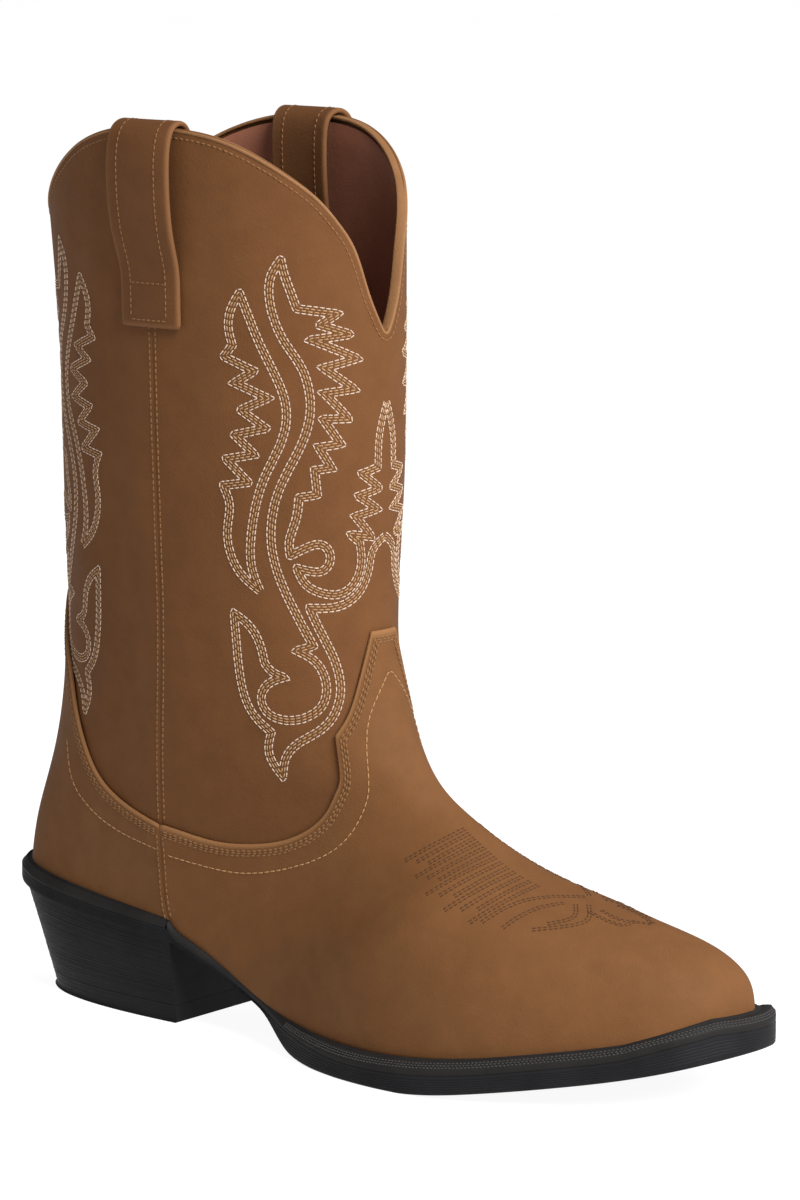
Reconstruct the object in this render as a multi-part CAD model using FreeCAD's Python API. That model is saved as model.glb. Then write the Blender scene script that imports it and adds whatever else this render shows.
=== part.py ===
import FreeCAD, Part

# A right-foot western boot: scalloped shaft, vamp and heel counter, stitched welt, slanted heel and
# two pull straps.
#
# Millimetres. +X points at the toe, +Y at the inner (medial) side and +Z up. The boot is drawn round
# its last, with the ground at the height GROUND. Every piece is moved by ORIGIN_SHIFT at the end,
# which puts the origin on the ground under the middle of the boot.
#
# The leather is laid over one surface, the skin. It has two patches that meet along the side seams.
# The front patch runs from the top of the shaft over the instep to the toe. The back patch runs from
# the top of the shaft down to the heel seat. Arcs sweep both. A front arc starts on the side line,
# which is the side seam and then the feather line where upper and sole meet. It crosses the ridge,
# which is the front of the shaft, the instep and the toe. A back arc crosses the back line. A sheet
# of leather or lining is a slice of the skin between two depths. Depth 0 is the outside of the
# shaft, and a negative depth lies further in.

import math
import os

V = FreeCAD.Vector

# ---- driving dimensions -------------------------------------------------------------------------
LEATHER = 1.6            # thickness of the shaft panels, the vamp and the counter
TAPE = 0.4               # thickness of the tape behind each side seam
LINING = 1.1             # thickness of the linings
GAP = 0.05               # air between sheets that are glued together
SEAM_GAP = 0.25          # half the gap between two sheets that meet at a side seam, in degrees
BINDING = 0.5            # how far the bead along the top edge stands out from the leather
BINDING_RISE = 1.0       # how far that bead stands above the top edge
DEGREE = 1.1             # length of one degree round the top of the shaft
OVERLAP = 0.5            # how far a sheet runs on under the one sewn over it, in stations
LINING_SPLIT = 5.0       # station where the shaft linings meet the linings of the foot
PUFF_START = 15.2        # station where the toe puff starts
TAPE_WIDTH = 12.0
STRAP_WIDTH = 26.0
STRAP_THICK = 2.0
SEAT_THICK = 4.5         # outsole thickness over the heel block
INSOLE_THICK = 2.4
SOCK_THICK = 3.0
SHANK_THICK = 1.4
SHANK_WIDTH = 13.0
SHANK_BACK, SHANK_FRONT = -112.0, 0.0
RIM_INSET = 6.0          # how far inside the feather line the rim's inner edge lies
FILLER_INSET = 6.2       # the same for the edge of the filler, the insole board and the sock liner
BOARD_INSET = 4.4
SOCK_INSET = 6.5
TOP_LIFT = 6.5           # thickness of the rubber top lift
BREAST_X = -74.0         # where the flat front of the heel stands
CLEAR = 0.1              # air between stacked bottom parts
GROUND = -1.0
ORIGIN_SHIFT = V(4.25, 0.0, -GROUND)
BACK_STOP, FRONT_STOP, SIDE_STOP = -172.0, 166.0, 80.0     # a box that holds the whole bottom

# Stations of the skin, from the top of the shaft (0) to the toe. At stations 0 to SEAT the side line
# is the side seam. After that it is the feather line.
#            ridge x, z, y           side x, z     lateral  medial half width
STATIONS = [((4.5, 335.0, 0.0), (-67.0, 335.0), 46.2, 46.2),
            ((4.6, 256.0, 0.0), (-66.0, 256.0), 45.4, 45.4),
            ((4.2, 200.0, 0.0), (-66.2, 200.0), 43.5, 43.5),
            ((2.7, 163.0, 0.0), (-67.0, 160.0), 41.0, 41.0),
            ((4.2, 138.0, 0.0), (-69.3, 132.0), 38.5, 38.5),
            ((9.0, 120.0, 0.0), (-72.0, 106.0), 36.2, 36.0),
            ((15.5, 107.0, 0.2), (-74.0, 80.0), 33.5, 33.2),
            ((21.5, 99.5, 0.7), (-75.2, 56.0), 30.2, 29.8),
            ((27.5, 93.8, 1.2), (-74.0, 38.5), 28.0, 27.4),
            ((35.0, 88.0, 1.8), (-64.0, 31.4), 27.2, 26.2),
            ((45.0, 81.5, 3.2), (-48.0, 24.2), 27.2, 25.8),
            ((57.0, 74.7, 4.9), (-26.0, 15.2), 30.2, 25.8),
            ((71.0, 68.2, 6.9), (-2.0, 11.1), 36.8, 27.7),
            ((87.0, 62.9, 9.4), (24.0, 9.8), 41.9, 32.0),
            ((103.0, 58.3, 11.8), (50.0, 10.7), 43.2, 37.0),
            ((118.8, 54.5, 14.2), (74.0, 13.2), 39.3, 39.0),
            ((132.2, 50.6, 16.5), (95.0, 16.6), 32.5, 38.8),
            ((141.9, 45.8, 18.1), (111.0, 19.5), 26.0, 37.6),
            ((147.8, 39.4, 19.2), (121.5, 21.5), 21.2, 36.2),
            ((149.6, 30.4, 19.6), (128.0, 22.9), 18.0, 35.0)]
SEAT = 8
TOE = len(STATIONS) - 1
# back line x, z at stations 0 to SEAT
BACK_LINE = [(-152.0, 335.0), (-143.4, 256.0), (-141.6, 200.0), (-140.7, 162.0), (-140.0, 138.0),
             (-141.0, 118.0), (-146.4, 93.0), (-155.4, 68.0), (-159.0, 48.5)]
# how much fuller than an ellipse the arcs are, by station
FULL_FRONT = [(0, 0.0), (4, 0.02), (8, 0.08), (14, 0.12), (17, 0.08), (TOE, -0.03)]
FULL_BACK = [(0, 0.0), (3, 0.02), (5, 0.08), (SEAT, 0.26)]

# Height of the scalloped top edge by the angle round the shaft: 0 front, 90 side seam, 180 back.
TOP_EDGE = [(-5, 262.5), (0, 257.5), (5, 262.5), (11, 273), (16, 285), (23, 295.6), (31, 304.3),
            (41, 312.2), (54, 320.5), (66, 326), (78, 328.5), (90, 329), (102, 327.5), (116, 322),
            (130, 312.5), (144, 302), (158, 293.7), (170, 289.4), (180, 288.5), (190, 289.4)]
# Station of the vamp's upper edge by the angle from the ridge: the tongue, its side, the scallop.
TONGUE_TOP, TONGUE_CORNER, SCALLOP_CORNER = 3.46, 9.0, 33.0
TONGUE_SIDE = [(9, 3.46), (18, 4.22), (25, 4.78), (33, 5.22)]
SCALLOP = [(33, 5.22), (36, 6.08), (40, 6.58), (45, 7.03), (52, 7.38), (59, 7.41), (67, 7.17),
           (76, 6.80), (84, 6.44), (90, 6.22)]
# The lower edge of the front panel, hidden under the vamp.
HIDDEN_EDGE = [(-12, 4.5), (0, 4.4), (12, 4.7), (24, 5.7), (36, 6.9), (48, 7.75), (60, 7.9),
               (74, 7.4), (90, 6.7)]
# Station of the counter's upper edge by the angle from the back line.
COUNTER_EDGE = [(-8, 3.12), (0, 3.06), (8, 3.12), (20, 3.5), (32, 4.06), (42, 4.63), (49, 5.10),
                (56, 5.47), (65, 5.86), (73, 6.06), (81, 6.17), (90, 6.24)]

# Plan of the outsole, anticlockwise seen from above, from the breast round the toe and the heel.
OUTSOLE = [(-90, -31.5), (-62, -30.4), (-44, -29.4), (-26, -32.2), (-12, -38.2), (4, -44), (20, -48.4),
           (38, -50.5), (60, -49.5), (85, -43), (110, -33), (128, -24), (142, -13), (152, 1.5),
           (157, 19), (153, 32), (142.5, 39.5), (125, 43.5), (95, 46), (60, 45), (30, 39.5),
           (0, 33.5), (-30, 29.6), (-60, 29.6), (-90, 31), (-120, 31), (-145, 26.5), (-160, 16),
           (-165.5, 0), (-160, -16.5), (-145, -27), (-120, -31.3)]
# Side profile of the ground side of the outsole in front of the heel.
GROUND_SIDE = [(-74, 31.0), (-60, 25.4), (-45, 19.2), (-35, 15.2), (-27, 11.8), (-21, 8.0), (-15, 4.0),
               (-9, 1.2), (-2, -0.3), (8, -1.0), (30, -1.0), (50, -1.0), (62, 0.0), (80, 2.6),
               (110, 7.8), (143, 14.9), (166, 21.4)]
# Thickness of the rim between upper and outsole: the rand, the thin waist, then the welt.
RIM = [(-172, 3.0), (-74, 3.0), (-60, 2.4), (-40, 2.0), (-22, 2.3), (0, 3.4), (30, 4.3), (100, 4.5),
       (166, 4.5)]
# Half plans of the heel from the breast to the back, at the seat and on the ground.
HEEL_SEAT_LATERAL = [(-74, -31.6), (-90, -31.5), (-120, -31.3), (-145, -27), (-160, -16.5)]
HEEL_SEAT_MEDIAL = [(-74, 30.4), (-90, 31), (-120, 31), (-145, 26.5), (-160, 16)]
HEEL_FOOT = [(-74, 25.4), (-90, 25.2), (-110, 23.8), (-130, 19.8), (-146, 11.8)]
HEEL_SEAT_BACK = (-165.5, 0)
HEEL_FOOT_BACK = (-154.0, 0)
HEEL_SEAT_Z = 46.0       # height that the plan at the seat is drawn at, above the real seat
# Section of a pull strap at the side seam, along its middle: depth outside the shaft, height. It
# starts at the foot of the outer leg, folds over the top edge and ends inside.
STRAP_PATH = [(1.2, 259.4), (1.2, 269), (1.6, 279.5), (4.4, 290), (6.3, 301.5), (6.7, 313),
              (6.0, 321.6), (3.6, 328.4), (-1.6, 331.1), (-6.8, 328.4), (-8.6, 321.6),
              (-8.8, 313), (-8.3, 301.5), (-6.6, 290), (-4.75, 279.5), (-4.5, 267)]


class Curve:
    """A smooth curve, the natural cubic, through (position, value) knots."""

    def __init__(self, knots):
        self.t = [float(k[0]) for k in knots]
        self.v = [float(k[1]) for k in knots]
        n = len(knots)
        h = [self.t[i + 1] - self.t[i] for i in range(n - 1)]
        slope = [(self.v[i + 1] - self.v[i]) / h[i] for i in range(n - 1)]
        share, rhs = [0.0] * n, [0.0] * n
        for i in range(1, n - 1):
            pivot = 2 * (h[i - 1] + h[i]) - h[i - 1] * share[i - 1]
            share[i] = h[i] / pivot
            rhs[i] = (6 * (slope[i] - slope[i - 1]) - h[i - 1] * rhs[i - 1]) / pivot
        self.bend = [0.0] * n
        for i in range(n - 2, 0, -1):
            self.bend[i] = rhs[i] - share[i] * self.bend[i + 1]

    def __call__(self, t):
        i = 0
        while i < len(self.t) - 2 and t > self.t[i + 1]:
            i += 1
        h = self.t[i + 1] - self.t[i]
        a = (self.t[i + 1] - t) / h
        b = 1 - a
        cubic = (a ** 3 - a) * self.bend[i] + (b ** 3 - b) * self.bend[i + 1]
        return a * self.v[i] + b * self.v[i + 1] + cubic * h * h / 6


def by_station(values):
    return Curve(list(enumerate(values)))


def smooth_step(t):
    t = max(0.0, min(1.0, t))
    return t * t * (3 - 2 * t)


# ---- the skin -----------------------------------------------------------------------------------
ridge_x = by_station([s[0][0] for s in STATIONS])
ridge_z = by_station([s[0][1] for s in STATIONS])
ridge_y = by_station([s[0][2] for s in STATIONS])
side_x = by_station([s[1][0] for s in STATIONS])
side_z = by_station([s[1][1] for s in STATIONS])
half_lateral = by_station([s[2] for s in STATIONS])
half_medial = by_station([s[3] for s in STATIONS])
back_x = by_station([p[0] for p in BACK_LINE])
back_z = by_station([p[1] for p in BACK_LINE])
full_front = Curve(FULL_FRONT)
full_back = Curve(FULL_BACK)


def outline_slope(half, s):
    """How the half width of the feather line changes with x. It fades to 0 up the shaft."""
    first = SEAT + 0.6
    t = first + (s - first + math.hypot(s - first, 1.0)) / 2
    t = min(t, TOE - 0.01)
    step = 0.01
    slope = (half(t + step) - half(t - step)) / (side_x(t + step) - side_x(t - step))
    return slope * smooth_step((s - SEAT + 3) / 4.5)


def arc(s, angle, front):
    """A point of the skin at depth 0. The angle is 0 on the ridge or the back line and 90 on the
    side line. It is negative on the lateral side."""
    phi = math.radians(abs(angle))
    full = full_front(s) if front else full_back(s)
    along = math.cos(phi) * (1 + full * math.sin(phi) ** 2)
    across = math.sin(phi) * (1 + full * math.cos(phi) ** 2)
    sign = 1.0 if angle >= 0 else -1.0
    half = half_medial if angle >= 0 else half_lateral
    side = V(side_x(s), sign * half(s), side_z(s))
    if front:
        end = V(ridge_x(s), ridge_y(s), ridge_z(s))
        lean = outline_slope(half, s) * (end.x - side.x)
    else:
        end = V(back_x(s), 0.0, back_z(s))
        lean = 0.0
    centre = V(side.x, end.y - sign * lean, side.z)
    return centre + (end - centre) * along + (side - centre) * across


def skin(s, angle, front, depth):
    """The point of the skin at a depth, measured along the outward normal."""
    last = TOE if front else SEAT
    ds, da = 0.02, 0.5
    down = arc(min(last, s + ds), angle, front) - arc(max(0.0, s - ds), angle, front)
    round_ = arc(s, min(90.0, angle + da), front) - arc(s, max(-90.0, angle - da), front)
    normal = down.cross(round_) if front else round_.cross(down)
    normal.normalize()
    return arc(s, angle, front) + normal * depth


def station_at(z, angle, front):
    """The station on the shaft where the skin has height z."""
    low, high = 0.0, 6.0
    for _ in range(30):
        middle = (low + high) / 2
        if arc(middle, angle, front).z > z:
            low = middle
        else:
            high = middle
    return low


top_height = Curve(TOP_EDGE)
tongue_side = Curve(TONGUE_SIDE)
scallop = Curve(SCALLOP)
counter_curve = Curve(COUNTER_EDGE)
hidden_curve = Curve(HIDDEN_EDGE)


def top_edge(angle, front):
    turn = abs(angle) if front else 180 - abs(angle)
    return station_at(top_height(turn), angle, front)


def hidden_edge(angle, front=True):
    return hidden_curve(abs(angle))


def counter_edge(angle, front=False):
    return counter_curve(abs(angle))


def at_station(s):
    return lambda angle, front: s


def below(edge, extra):
    return lambda angle, front: edge(angle, front) + extra


# ---- solids from grids of points ----------------------------------------------------------------
def grid_face(grid):
    surface = Part.BSplineSurface()
    surface.interpolate(grid)
    return surface.toShape()


def thick(outer, inner):
    """The solid between two grids of the same size."""
    faces = [grid_face(outer), grid_face(inner)]
    rims = [Part.makeRuledSurface(a, b, 1) for a, b in zip(faces[0].Edges, faces[1].Edges)]
    shell = Part.Compound(faces + rims)
    shell.sewShape()
    solid = Part.Solid(shell.Shells[0])
    if solid.Volume < 0:
        solid.reverse()
    return solid


ROUND = [-90 + SEAM_GAP] + [3.0 * i for i in range(-29, 30)] + [90 - SEAM_GAP]


def sheet(front, top, bottom, outer, inner, rows, angles=ROUND):
    """A slice of the skin. top and bottom give its edges as stations, outer and inner its depths."""
    grids = []
    for depth in (outer, inner):
        grid = []
        for angle in angles:
            first, last = top(angle, front), bottom(angle, front)
            stations = [first + (last - first) * i / (rows - 1) for i in range(rows)]
            grid.append([skin(s, angle, front, depth(s, angle) if callable(depth) else depth)
                         for s in stations])
        grids.append(grid)
    return thick(grids[0], grids[1])


# ---- upper --------------------------------------------------------------------------------------
def spline(points):
    curve = Part.BSplineCurve()
    curve.interpolate(points)
    return curve.toShape()


def knife(station, first, last):
    """A strip that stands across the leather of the front patch, along one stretch of an edge."""
    angles = [first + (last - first) * i / 16 for i in range(17)]
    rails = [spline([skin(station(abs(a)), a, True, depth) for a in angles]) for depth in (4, -3)]
    return Part.makeRuledSurface(rails[0], rails[1], 1)


def vamp():
    """The vamp is cut out of a larger sheet along its tongue and its two scallops."""
    knives = [knife(lambda turn: TONGUE_TOP, -TONGUE_CORNER, TONGUE_CORNER)]
    for sign in (-1, 1):
        knives.append(knife(tongue_side, sign * TONGUE_CORNER, sign * SCALLOP_CORNER))
        knives.append(knife(scallop, sign * SCALLOP_CORNER, sign * 90))
    strip = Part.Compound(knives)
    strip.sewShape()
    whole = sheet(True, at_station(3.1), at_station(TOE), LEATHER, GAP, 54)
    parts = whole.generalFuse([strip])[1][0]
    return min(parts, key=lambda part: part.CenterOfMass.z)


LINING_OUT = -(LEATHER + TAPE + 2 * GAP)
LINING_IN = LINING_OUT - LINING


def vamp_lining_depth(thickness):
    """The vamp lining lies on the vamp itself between the end of the shaft panel and the toe puff."""
    def depth(s, angle):
        free = smooth_step(s - hidden_edge(angle) - CLEAR) * smooth_step(PUFF_START - 2 * CLEAR - s)
        return LINING_OUT * (1 - free) - GAP * free - thickness
    return depth


def raised(rise):
    """The top edge moved up across itself."""
    def edge(angle, front):
        turn = abs(angle) if front else 180 - abs(angle)
        slope = (top_height(turn + 0.5) - top_height(turn - 0.5)) / DEGREE
        return station_at(top_height(turn) + rise * math.hypot(1, slope), angle, front)
    return edge


def binding(front):
    """The rolled leather bead that lies along the top edge, over the panel and its lining."""
    return sheet(front, raised(BINDING_RISE), raised(GAP), GAP + BINDING,
                 LINING_IN - GAP - BINDING, 3)


def seam_columns(sign, half_width, count):
    """(patch, angle) columns across a side seam, from the front to the back."""
    columns = []
    for front, reach in ((True, 71.5), (False, 84.0)):
        limit = math.degrees(math.acos(half_width / reach))
        turns = [limit + (90 - limit) * i / count for i in range(count + 1)]
        if not front:
            turns = turns[-2::-1]
        columns += [(front, sign * turn) for turn in turns]
    return columns


def seam_tape(sign):
    """The tape behind a side seam, from just under the top edge to the counter."""
    first, last, steps = 0.25, 7.6, 18
    stations = [first + (last - first) * i / steps for i in range(steps + 1)]
    faces = [[[skin(s, angle, front, depth) for s in stations]
              for front, angle in seam_columns(sign, TAPE_WIDTH / 2, 2)]
             for depth in (-LEATHER - GAP, -LEATHER - TAPE)]
    return thick(*faces)


def pull_strap(sign):
    """A strap that follows STRAP_PATH. Its width wraps round the side seam."""
    depth_at = by_station([p[0] for p in STRAP_PATH])
    height_at = by_station([p[1] for p in STRAP_PATH])
    per_point, step = 4, 0.02
    top = top_height(90)

    def face(offset):
        path = []
        for i in range(per_point * (len(STRAP_PATH) - 1) + 1):
            t = i / per_point
            run = depth_at(t + step) - depth_at(t - step)
            climb = height_at(t + step) - height_at(t - step)
            norm = math.hypot(run, climb)
            path.append((depth_at(t) + offset * climb / norm, height_at(t) - offset * run / norm))
        grid = []
        for front, angle in seam_columns(sign, STRAP_WIDTH / 2, 5):
            row = []
            for depth, height in path:
                point = skin(station_at(min(height, top), angle, front), angle, front, depth)
                row.append(V(point.x, point.y, height))
            grid.append(row)
        return grid

    return thick(face(STRAP_THICK / 2), face(-STRAP_THICK / 2))


# ---- bottom -------------------------------------------------------------------------------------
ground_side = Curve(GROUND_SIDE)
rim = Curve(RIM)
TIP_X = ridge_x(TOE) + LEATHER      # the front of the toe


def feather_z(x):
    """Height of the feather line: along the heel seat, the waist and forepart, then the toe. It is
    level in front of the toe."""
    seat, toe = V(side_x(SEAT), 0, side_z(SEAT)), V(side_x(TOE), 0, side_z(TOE))
    if x <= seat.x:
        return seat.z + (back_z(SEAT) - seat.z) * (seat.x - x) / (seat.x - back_x(SEAT))
    if x >= toe.x:
        return toe.z + (ridge_z(TOE) - toe.z) * (min(x, TIP_X) - toe.x) / (ridge_x(TOE) - toe.x)
    low, high = float(SEAT), float(TOE)
    for _ in range(30):
        middle = (low + high) / 2
        if side_x(middle) < x:
            low = middle
        else:
            high = middle
    return side_z(low)


def rim_bottom(x):
    return feather_z(x) - rim(x)


def sole_bottom(x):
    """The ground side: under the heel seat, then the waist and the flat tread of the forepart."""
    return rim_bottom(x) - SEAT_THICK if x <= BREAST_X else max(GROUND, ground_side(x))


def profile(height, x0, x1):
    """The side profile height(x), drawn beside the boot."""
    spacing = 5.0
    count = max(2, int(abs(x1 - x0) / spacing))
    places = [x0 + (x1 - x0) * i / count for i in range(count + 1)]
    return spline([V(x, -SIDE_STOP, height(x)) for x in places])


def wall(x, low, high):
    """The upright edge between two side profiles."""
    return Part.makeLine(V(x, -SIDE_STOP, low), V(x, -SIDE_STOP, high))


CORNERS = (BREAST_X, TIP_X)


def slab(top, bottom, *stops):
    """Everything between two side profiles, from one x to another. The profiles may have a corner
    at each of CORNERS."""
    stops = [stops[0]] + [x for x in CORNERS if stops[0] < x < stops[-1]] + [stops[-1]]
    back = stops[::-1]
    edges = [profile(top, a, b) for a, b in zip(stops, stops[1:])]
    edges.append(wall(back[0], top(back[0]), bottom(back[0])))
    edges += [profile(bottom, a, b) for a, b in zip(back, back[1:])]
    edges.append(wall(stops[0], bottom(stops[0]), top(stops[0])))
    return Part.Face(Part.Wire(edges)).extrude(V(0, 2 * SIDE_STOP, 0))


def plan(points):
    """Everything inside a closed plan outline."""
    curve = Part.BSplineCurve()
    curve.interpolate([V(x, y, -10) for x, y in points], PeriodicFlag=True)
    return Part.Face(Part.Wire(curve.toShape())).extrude(V(0, 0, 100))


def feather_plan(inset):
    """The plan of the feather line, moved inwards."""
    points = [arc(s, -90, True) for s in range(SEAT, TOE)]
    points += [arc(TOE, angle, True) for angle in range(-90, 91, 22)[:-1]]
    points += [arc(s, 90, True) for s in range(TOE, SEAT - 1, -1)]
    points += [arc(SEAT, angle, False) for angle in range(75, -76, -15)]
    count = len(points)
    moved = []
    for i, point in enumerate(points):
        along = points[(i + 1) % count] - points[i - 1]
        length = math.hypot(along.x, along.y)
        moved.append((point.x - inset * along.y / length, point.y + inset * along.x / length))
    return plan(moved)


def top_profile(x):
    return feather_z(x) - CLEAR


def rim_ring(x0, x1):
    """The rim between upper and outsole: the rand round the heel seat or the welt in front of it."""
    ring = plan(OUTSOLE).cut(feather_plan(RIM_INSET))
    return ring.common(slab(top_profile, rim_bottom, x0, x1))


def outsole():
    return plan(OUTSOLE).common(slab(lambda x: rim_bottom(x) - CLEAR, sole_bottom,
                                     BACK_STOP, FRONT_STOP))


def layer(inset, top, bottom):
    """A board inside the boot. Its faces follow the feather line, moved up or down."""
    return feather_plan(inset).common(slab(lambda x: feather_z(x) + top,
                                           lambda x: feather_z(x) + bottom, BACK_STOP, FRONT_STOP))


def shank_bar(grow, top, bottom):
    """The shank, or the slot for it, which is wider all round by grow."""
    length, width = SHANK_FRONT - SHANK_BACK + 2 * grow, SHANK_WIDTH + 2 * grow
    box = Part.makeBox(length, width, 100, V(SHANK_BACK - grow, -width / 2, -30))
    return box.common(slab(lambda x: feather_z(x) + top, lambda x: feather_z(x) + bottom,
                           SHANK_BACK - 5, SHANK_FRONT + 5))


def bottom_filler():
    """The filler fills the rim. The shank lies in a slot that is cut right through it."""
    filler = feather_plan(FILLER_INSET).common(slab(top_profile, rim_bottom, BACK_STOP, FRONT_STOP))
    return filler.cut(shank_bar(0.3, 1.0, -6.0))


def heel_plan(lateral, medial, back, z):
    """The outline of the heel at a height, closed by the straight edge of the breast."""
    points = [V(x, -abs(y), z) for x, y in lateral] + [V(back[0], back[1], z)]
    points += [V(x, y, z) for x, y in reversed(medial)]
    return Part.Wire([spline(points), Part.makeLine(points[-1], points[0])])


def heel_stack():
    """The whole heel from the ground up to above the seat, before it is parted into its layers."""
    low = heel_plan(HEEL_FOOT, HEEL_FOOT, HEEL_FOOT_BACK, GROUND)
    high = heel_plan(HEEL_SEAT_LATERAL, HEEL_SEAT_MEDIAL, HEEL_SEAT_BACK, HEEL_SEAT_Z)
    return Part.makeLoft([low, high], True, True)


def heel_layer(top, bottom):
    return heel_stack().common(slab(top, bottom, BACK_STOP, BREAST_X + 2))


# ---- the pieces ---------------------------------------------------------------------------------
PIECES = {
    "shaft_front_panel": lambda: sheet(True, top_edge, hidden_edge, 0.0, -LEATHER, 29),
    "shaft_back_panel": lambda: sheet(False, top_edge, below(counter_edge, OVERLAP),
                                      0.0, -LEATHER, 29),
    "vamp": vamp,
    "heel_counter": lambda: sheet(False, counter_edge, at_station(SEAT), LEATHER, GAP, 19),
    "shaft_front_lining": lambda: sheet(True, top_edge, at_station(LINING_SPLIT - 0.01),
                                        LINING_OUT, LINING_IN, 25),
    "shaft_back_lining": lambda: sheet(False, top_edge, at_station(LINING_SPLIT - 0.01),
                                       LINING_OUT, LINING_IN, 25),
    "vamp_lining": lambda: sheet(True, at_station(LINING_SPLIT), at_station(TOE),
                                 vamp_lining_depth(0.0), vamp_lining_depth(LINING), 37),
    "heel_lining": lambda: sheet(False, at_station(LINING_SPLIT), at_station(SEAT),
                                 LINING_OUT, LINING_IN, 13),
    "toe_puff": lambda: sheet(True, at_station(PUFF_START), at_station(TOE), 0.0, -LEATHER, 15),
    "heel_stiffener": lambda: sheet(False, below(counter_edge, OVERLAP + CLEAR), at_station(SEAT),
                                    0.0, -LEATHER, 15),
    "seam_tape_lateral": lambda: seam_tape(-1),
    "seam_tape_medial": lambda: seam_tape(1),
    "binding_front": lambda: binding(True),
    "binding_back": lambda: binding(False),
    "pull_strap_lateral": lambda: pull_strap(-1),
    "pull_strap_medial": lambda: pull_strap(1),
    "welt": lambda: rim_ring(BREAST_X + CLEAR, FRONT_STOP),
    "heel_rand": lambda: rim_ring(BACK_STOP, BREAST_X),
    "bottom_filler": bottom_filler,
    "shank": lambda: shank_bar(0.0, -2 * CLEAR, -2 * CLEAR - SHANK_THICK),
    "insole_board": lambda: layer(BOARD_INSET, INSOLE_THICK, CLEAR),
    "sock_liner": lambda: layer(SOCK_INSET, INSOLE_THICK + SOCK_THICK, INSOLE_THICK + CLEAR),
    "outsole": outsole,
    "heel_block": lambda: heel_layer(lambda x: rim_bottom(x) - SEAT_THICK - CLEAR,
                                     lambda x: GROUND + TOP_LIFT + CLEAR),
    "top_lift": lambda: heel_layer(lambda x: GROUND + TOP_LIFT, lambda x: GROUND),
}

os.makedirs("parts", exist_ok=True)
for name, make in PIECES.items():
    piece = make()
    if piece.ShapeType != "Solid":
        piece = piece.Solids[0]
    if piece.Volume < 0:
        piece.reverse()
    piece.translate(ORIGIN_SHIFT)
    piece.exportStep("parts/" + name + ".step")
    print(name, piece.isValid(), round(piece.Volume))
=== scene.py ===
"""A right-foot western boot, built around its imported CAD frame.

Lengths are metres unless a name ends in _mm or _MM. The tables of the boot's shape are in mm. The
leather is laid over the same surface as the CAD parts, the skin: arcs that run round the leg and the
foot, one for every station from the top of the shaft (0) to the toe. A place on the skin is a station and a turn. The turn is 0 on the front of the
shaft, the instep and the toe, and -90 and 90 on the side lines: the lateral and the medial side
seam, then the feather line where upper and welt meet. It is 180 on the back of the shaft.
"""

import math

import bpy
import numpy as np
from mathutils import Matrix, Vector


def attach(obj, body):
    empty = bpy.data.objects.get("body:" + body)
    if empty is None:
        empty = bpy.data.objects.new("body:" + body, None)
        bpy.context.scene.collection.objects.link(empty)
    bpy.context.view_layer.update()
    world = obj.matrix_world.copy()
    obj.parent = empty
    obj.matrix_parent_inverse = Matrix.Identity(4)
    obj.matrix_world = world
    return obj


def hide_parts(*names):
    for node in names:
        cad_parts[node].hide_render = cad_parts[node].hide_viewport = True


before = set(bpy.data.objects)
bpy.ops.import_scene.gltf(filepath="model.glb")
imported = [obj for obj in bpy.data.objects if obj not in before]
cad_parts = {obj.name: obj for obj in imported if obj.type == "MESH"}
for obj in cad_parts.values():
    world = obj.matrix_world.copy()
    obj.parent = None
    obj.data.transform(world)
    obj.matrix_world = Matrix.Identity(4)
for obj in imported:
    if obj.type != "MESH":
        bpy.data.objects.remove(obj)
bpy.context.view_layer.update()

MM = 0.001
GROUND_MM = -1.0                        # height of the ground in the last's own frame
SHIFT = np.array([4.25, 0.0, -GROUND_MM])     # from that frame to the frame of the part, in mm

# ---- the skin, in mm ----
# The ridge's x, z and y, the side line's x and z, and its half width on the lateral and medial side.
STATIONS = [
    (4.5, 335.0, 0.0, -67.0, 335.0, 46.2, 46.2),
    (4.6, 256.0, 0.0, -66.0, 256.0, 45.4, 45.4),
    (4.2, 200.0, 0.0, -66.2, 200.0, 43.5, 43.5),
    (2.7, 163.0, 0.0, -67.0, 160.0, 41.0, 41.0),
    (4.2, 138.0, 0.0, -69.3, 132.0, 38.5, 38.5),
    (9.0, 120.0, 0.0, -72.0, 106.0, 36.2, 36.0),
    (15.5, 107.0, 0.2, -74.0, 80.0, 33.5, 33.2),
    (21.5, 99.5, 0.7, -75.2, 56.0, 30.2, 29.8),
    (27.5, 93.8, 1.2, -74.0, 38.5, 28.0, 27.4),
    (35.0, 88.0, 1.8, -64.0, 31.4, 27.2, 26.2),
    (45.0, 81.5, 3.2, -48.0, 24.2, 27.2, 25.8),
    (57.0, 74.7, 4.9, -26.0, 15.2, 30.2, 25.8),
    (71.0, 68.2, 6.9, -2.0, 11.1, 36.8, 27.7),
    (87.0, 62.9, 9.4, 24.0, 9.8, 41.9, 32.0),
    (103.0, 58.3, 11.8, 50.0, 10.7, 43.2, 37.0),
    (118.8, 54.5, 14.2, 74.0, 13.2, 39.3, 39.0),
    (132.2, 50.6, 16.5, 95.0, 16.6, 32.5, 38.8),
    (141.9, 45.8, 18.1, 111.0, 19.5, 26.0, 37.6),
    (147.8, 39.4, 19.2, 121.5, 21.5, 21.2, 36.2),
    (149.6, 30.4, 19.6, 128.0, 22.9, 18.0, 35.0)]
SEAT = 8
TOE = len(STATIONS) - 1
BACK_LINE = [(-152.0, 335.0), (-143.4, 256.0), (-141.6, 200.0), (-140.7, 162.0), (-140.0, 138.0),
             (-141.0, 118.0), (-146.4, 93.0), (-155.4, 68.0), (-159.0, 48.5)]
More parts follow.
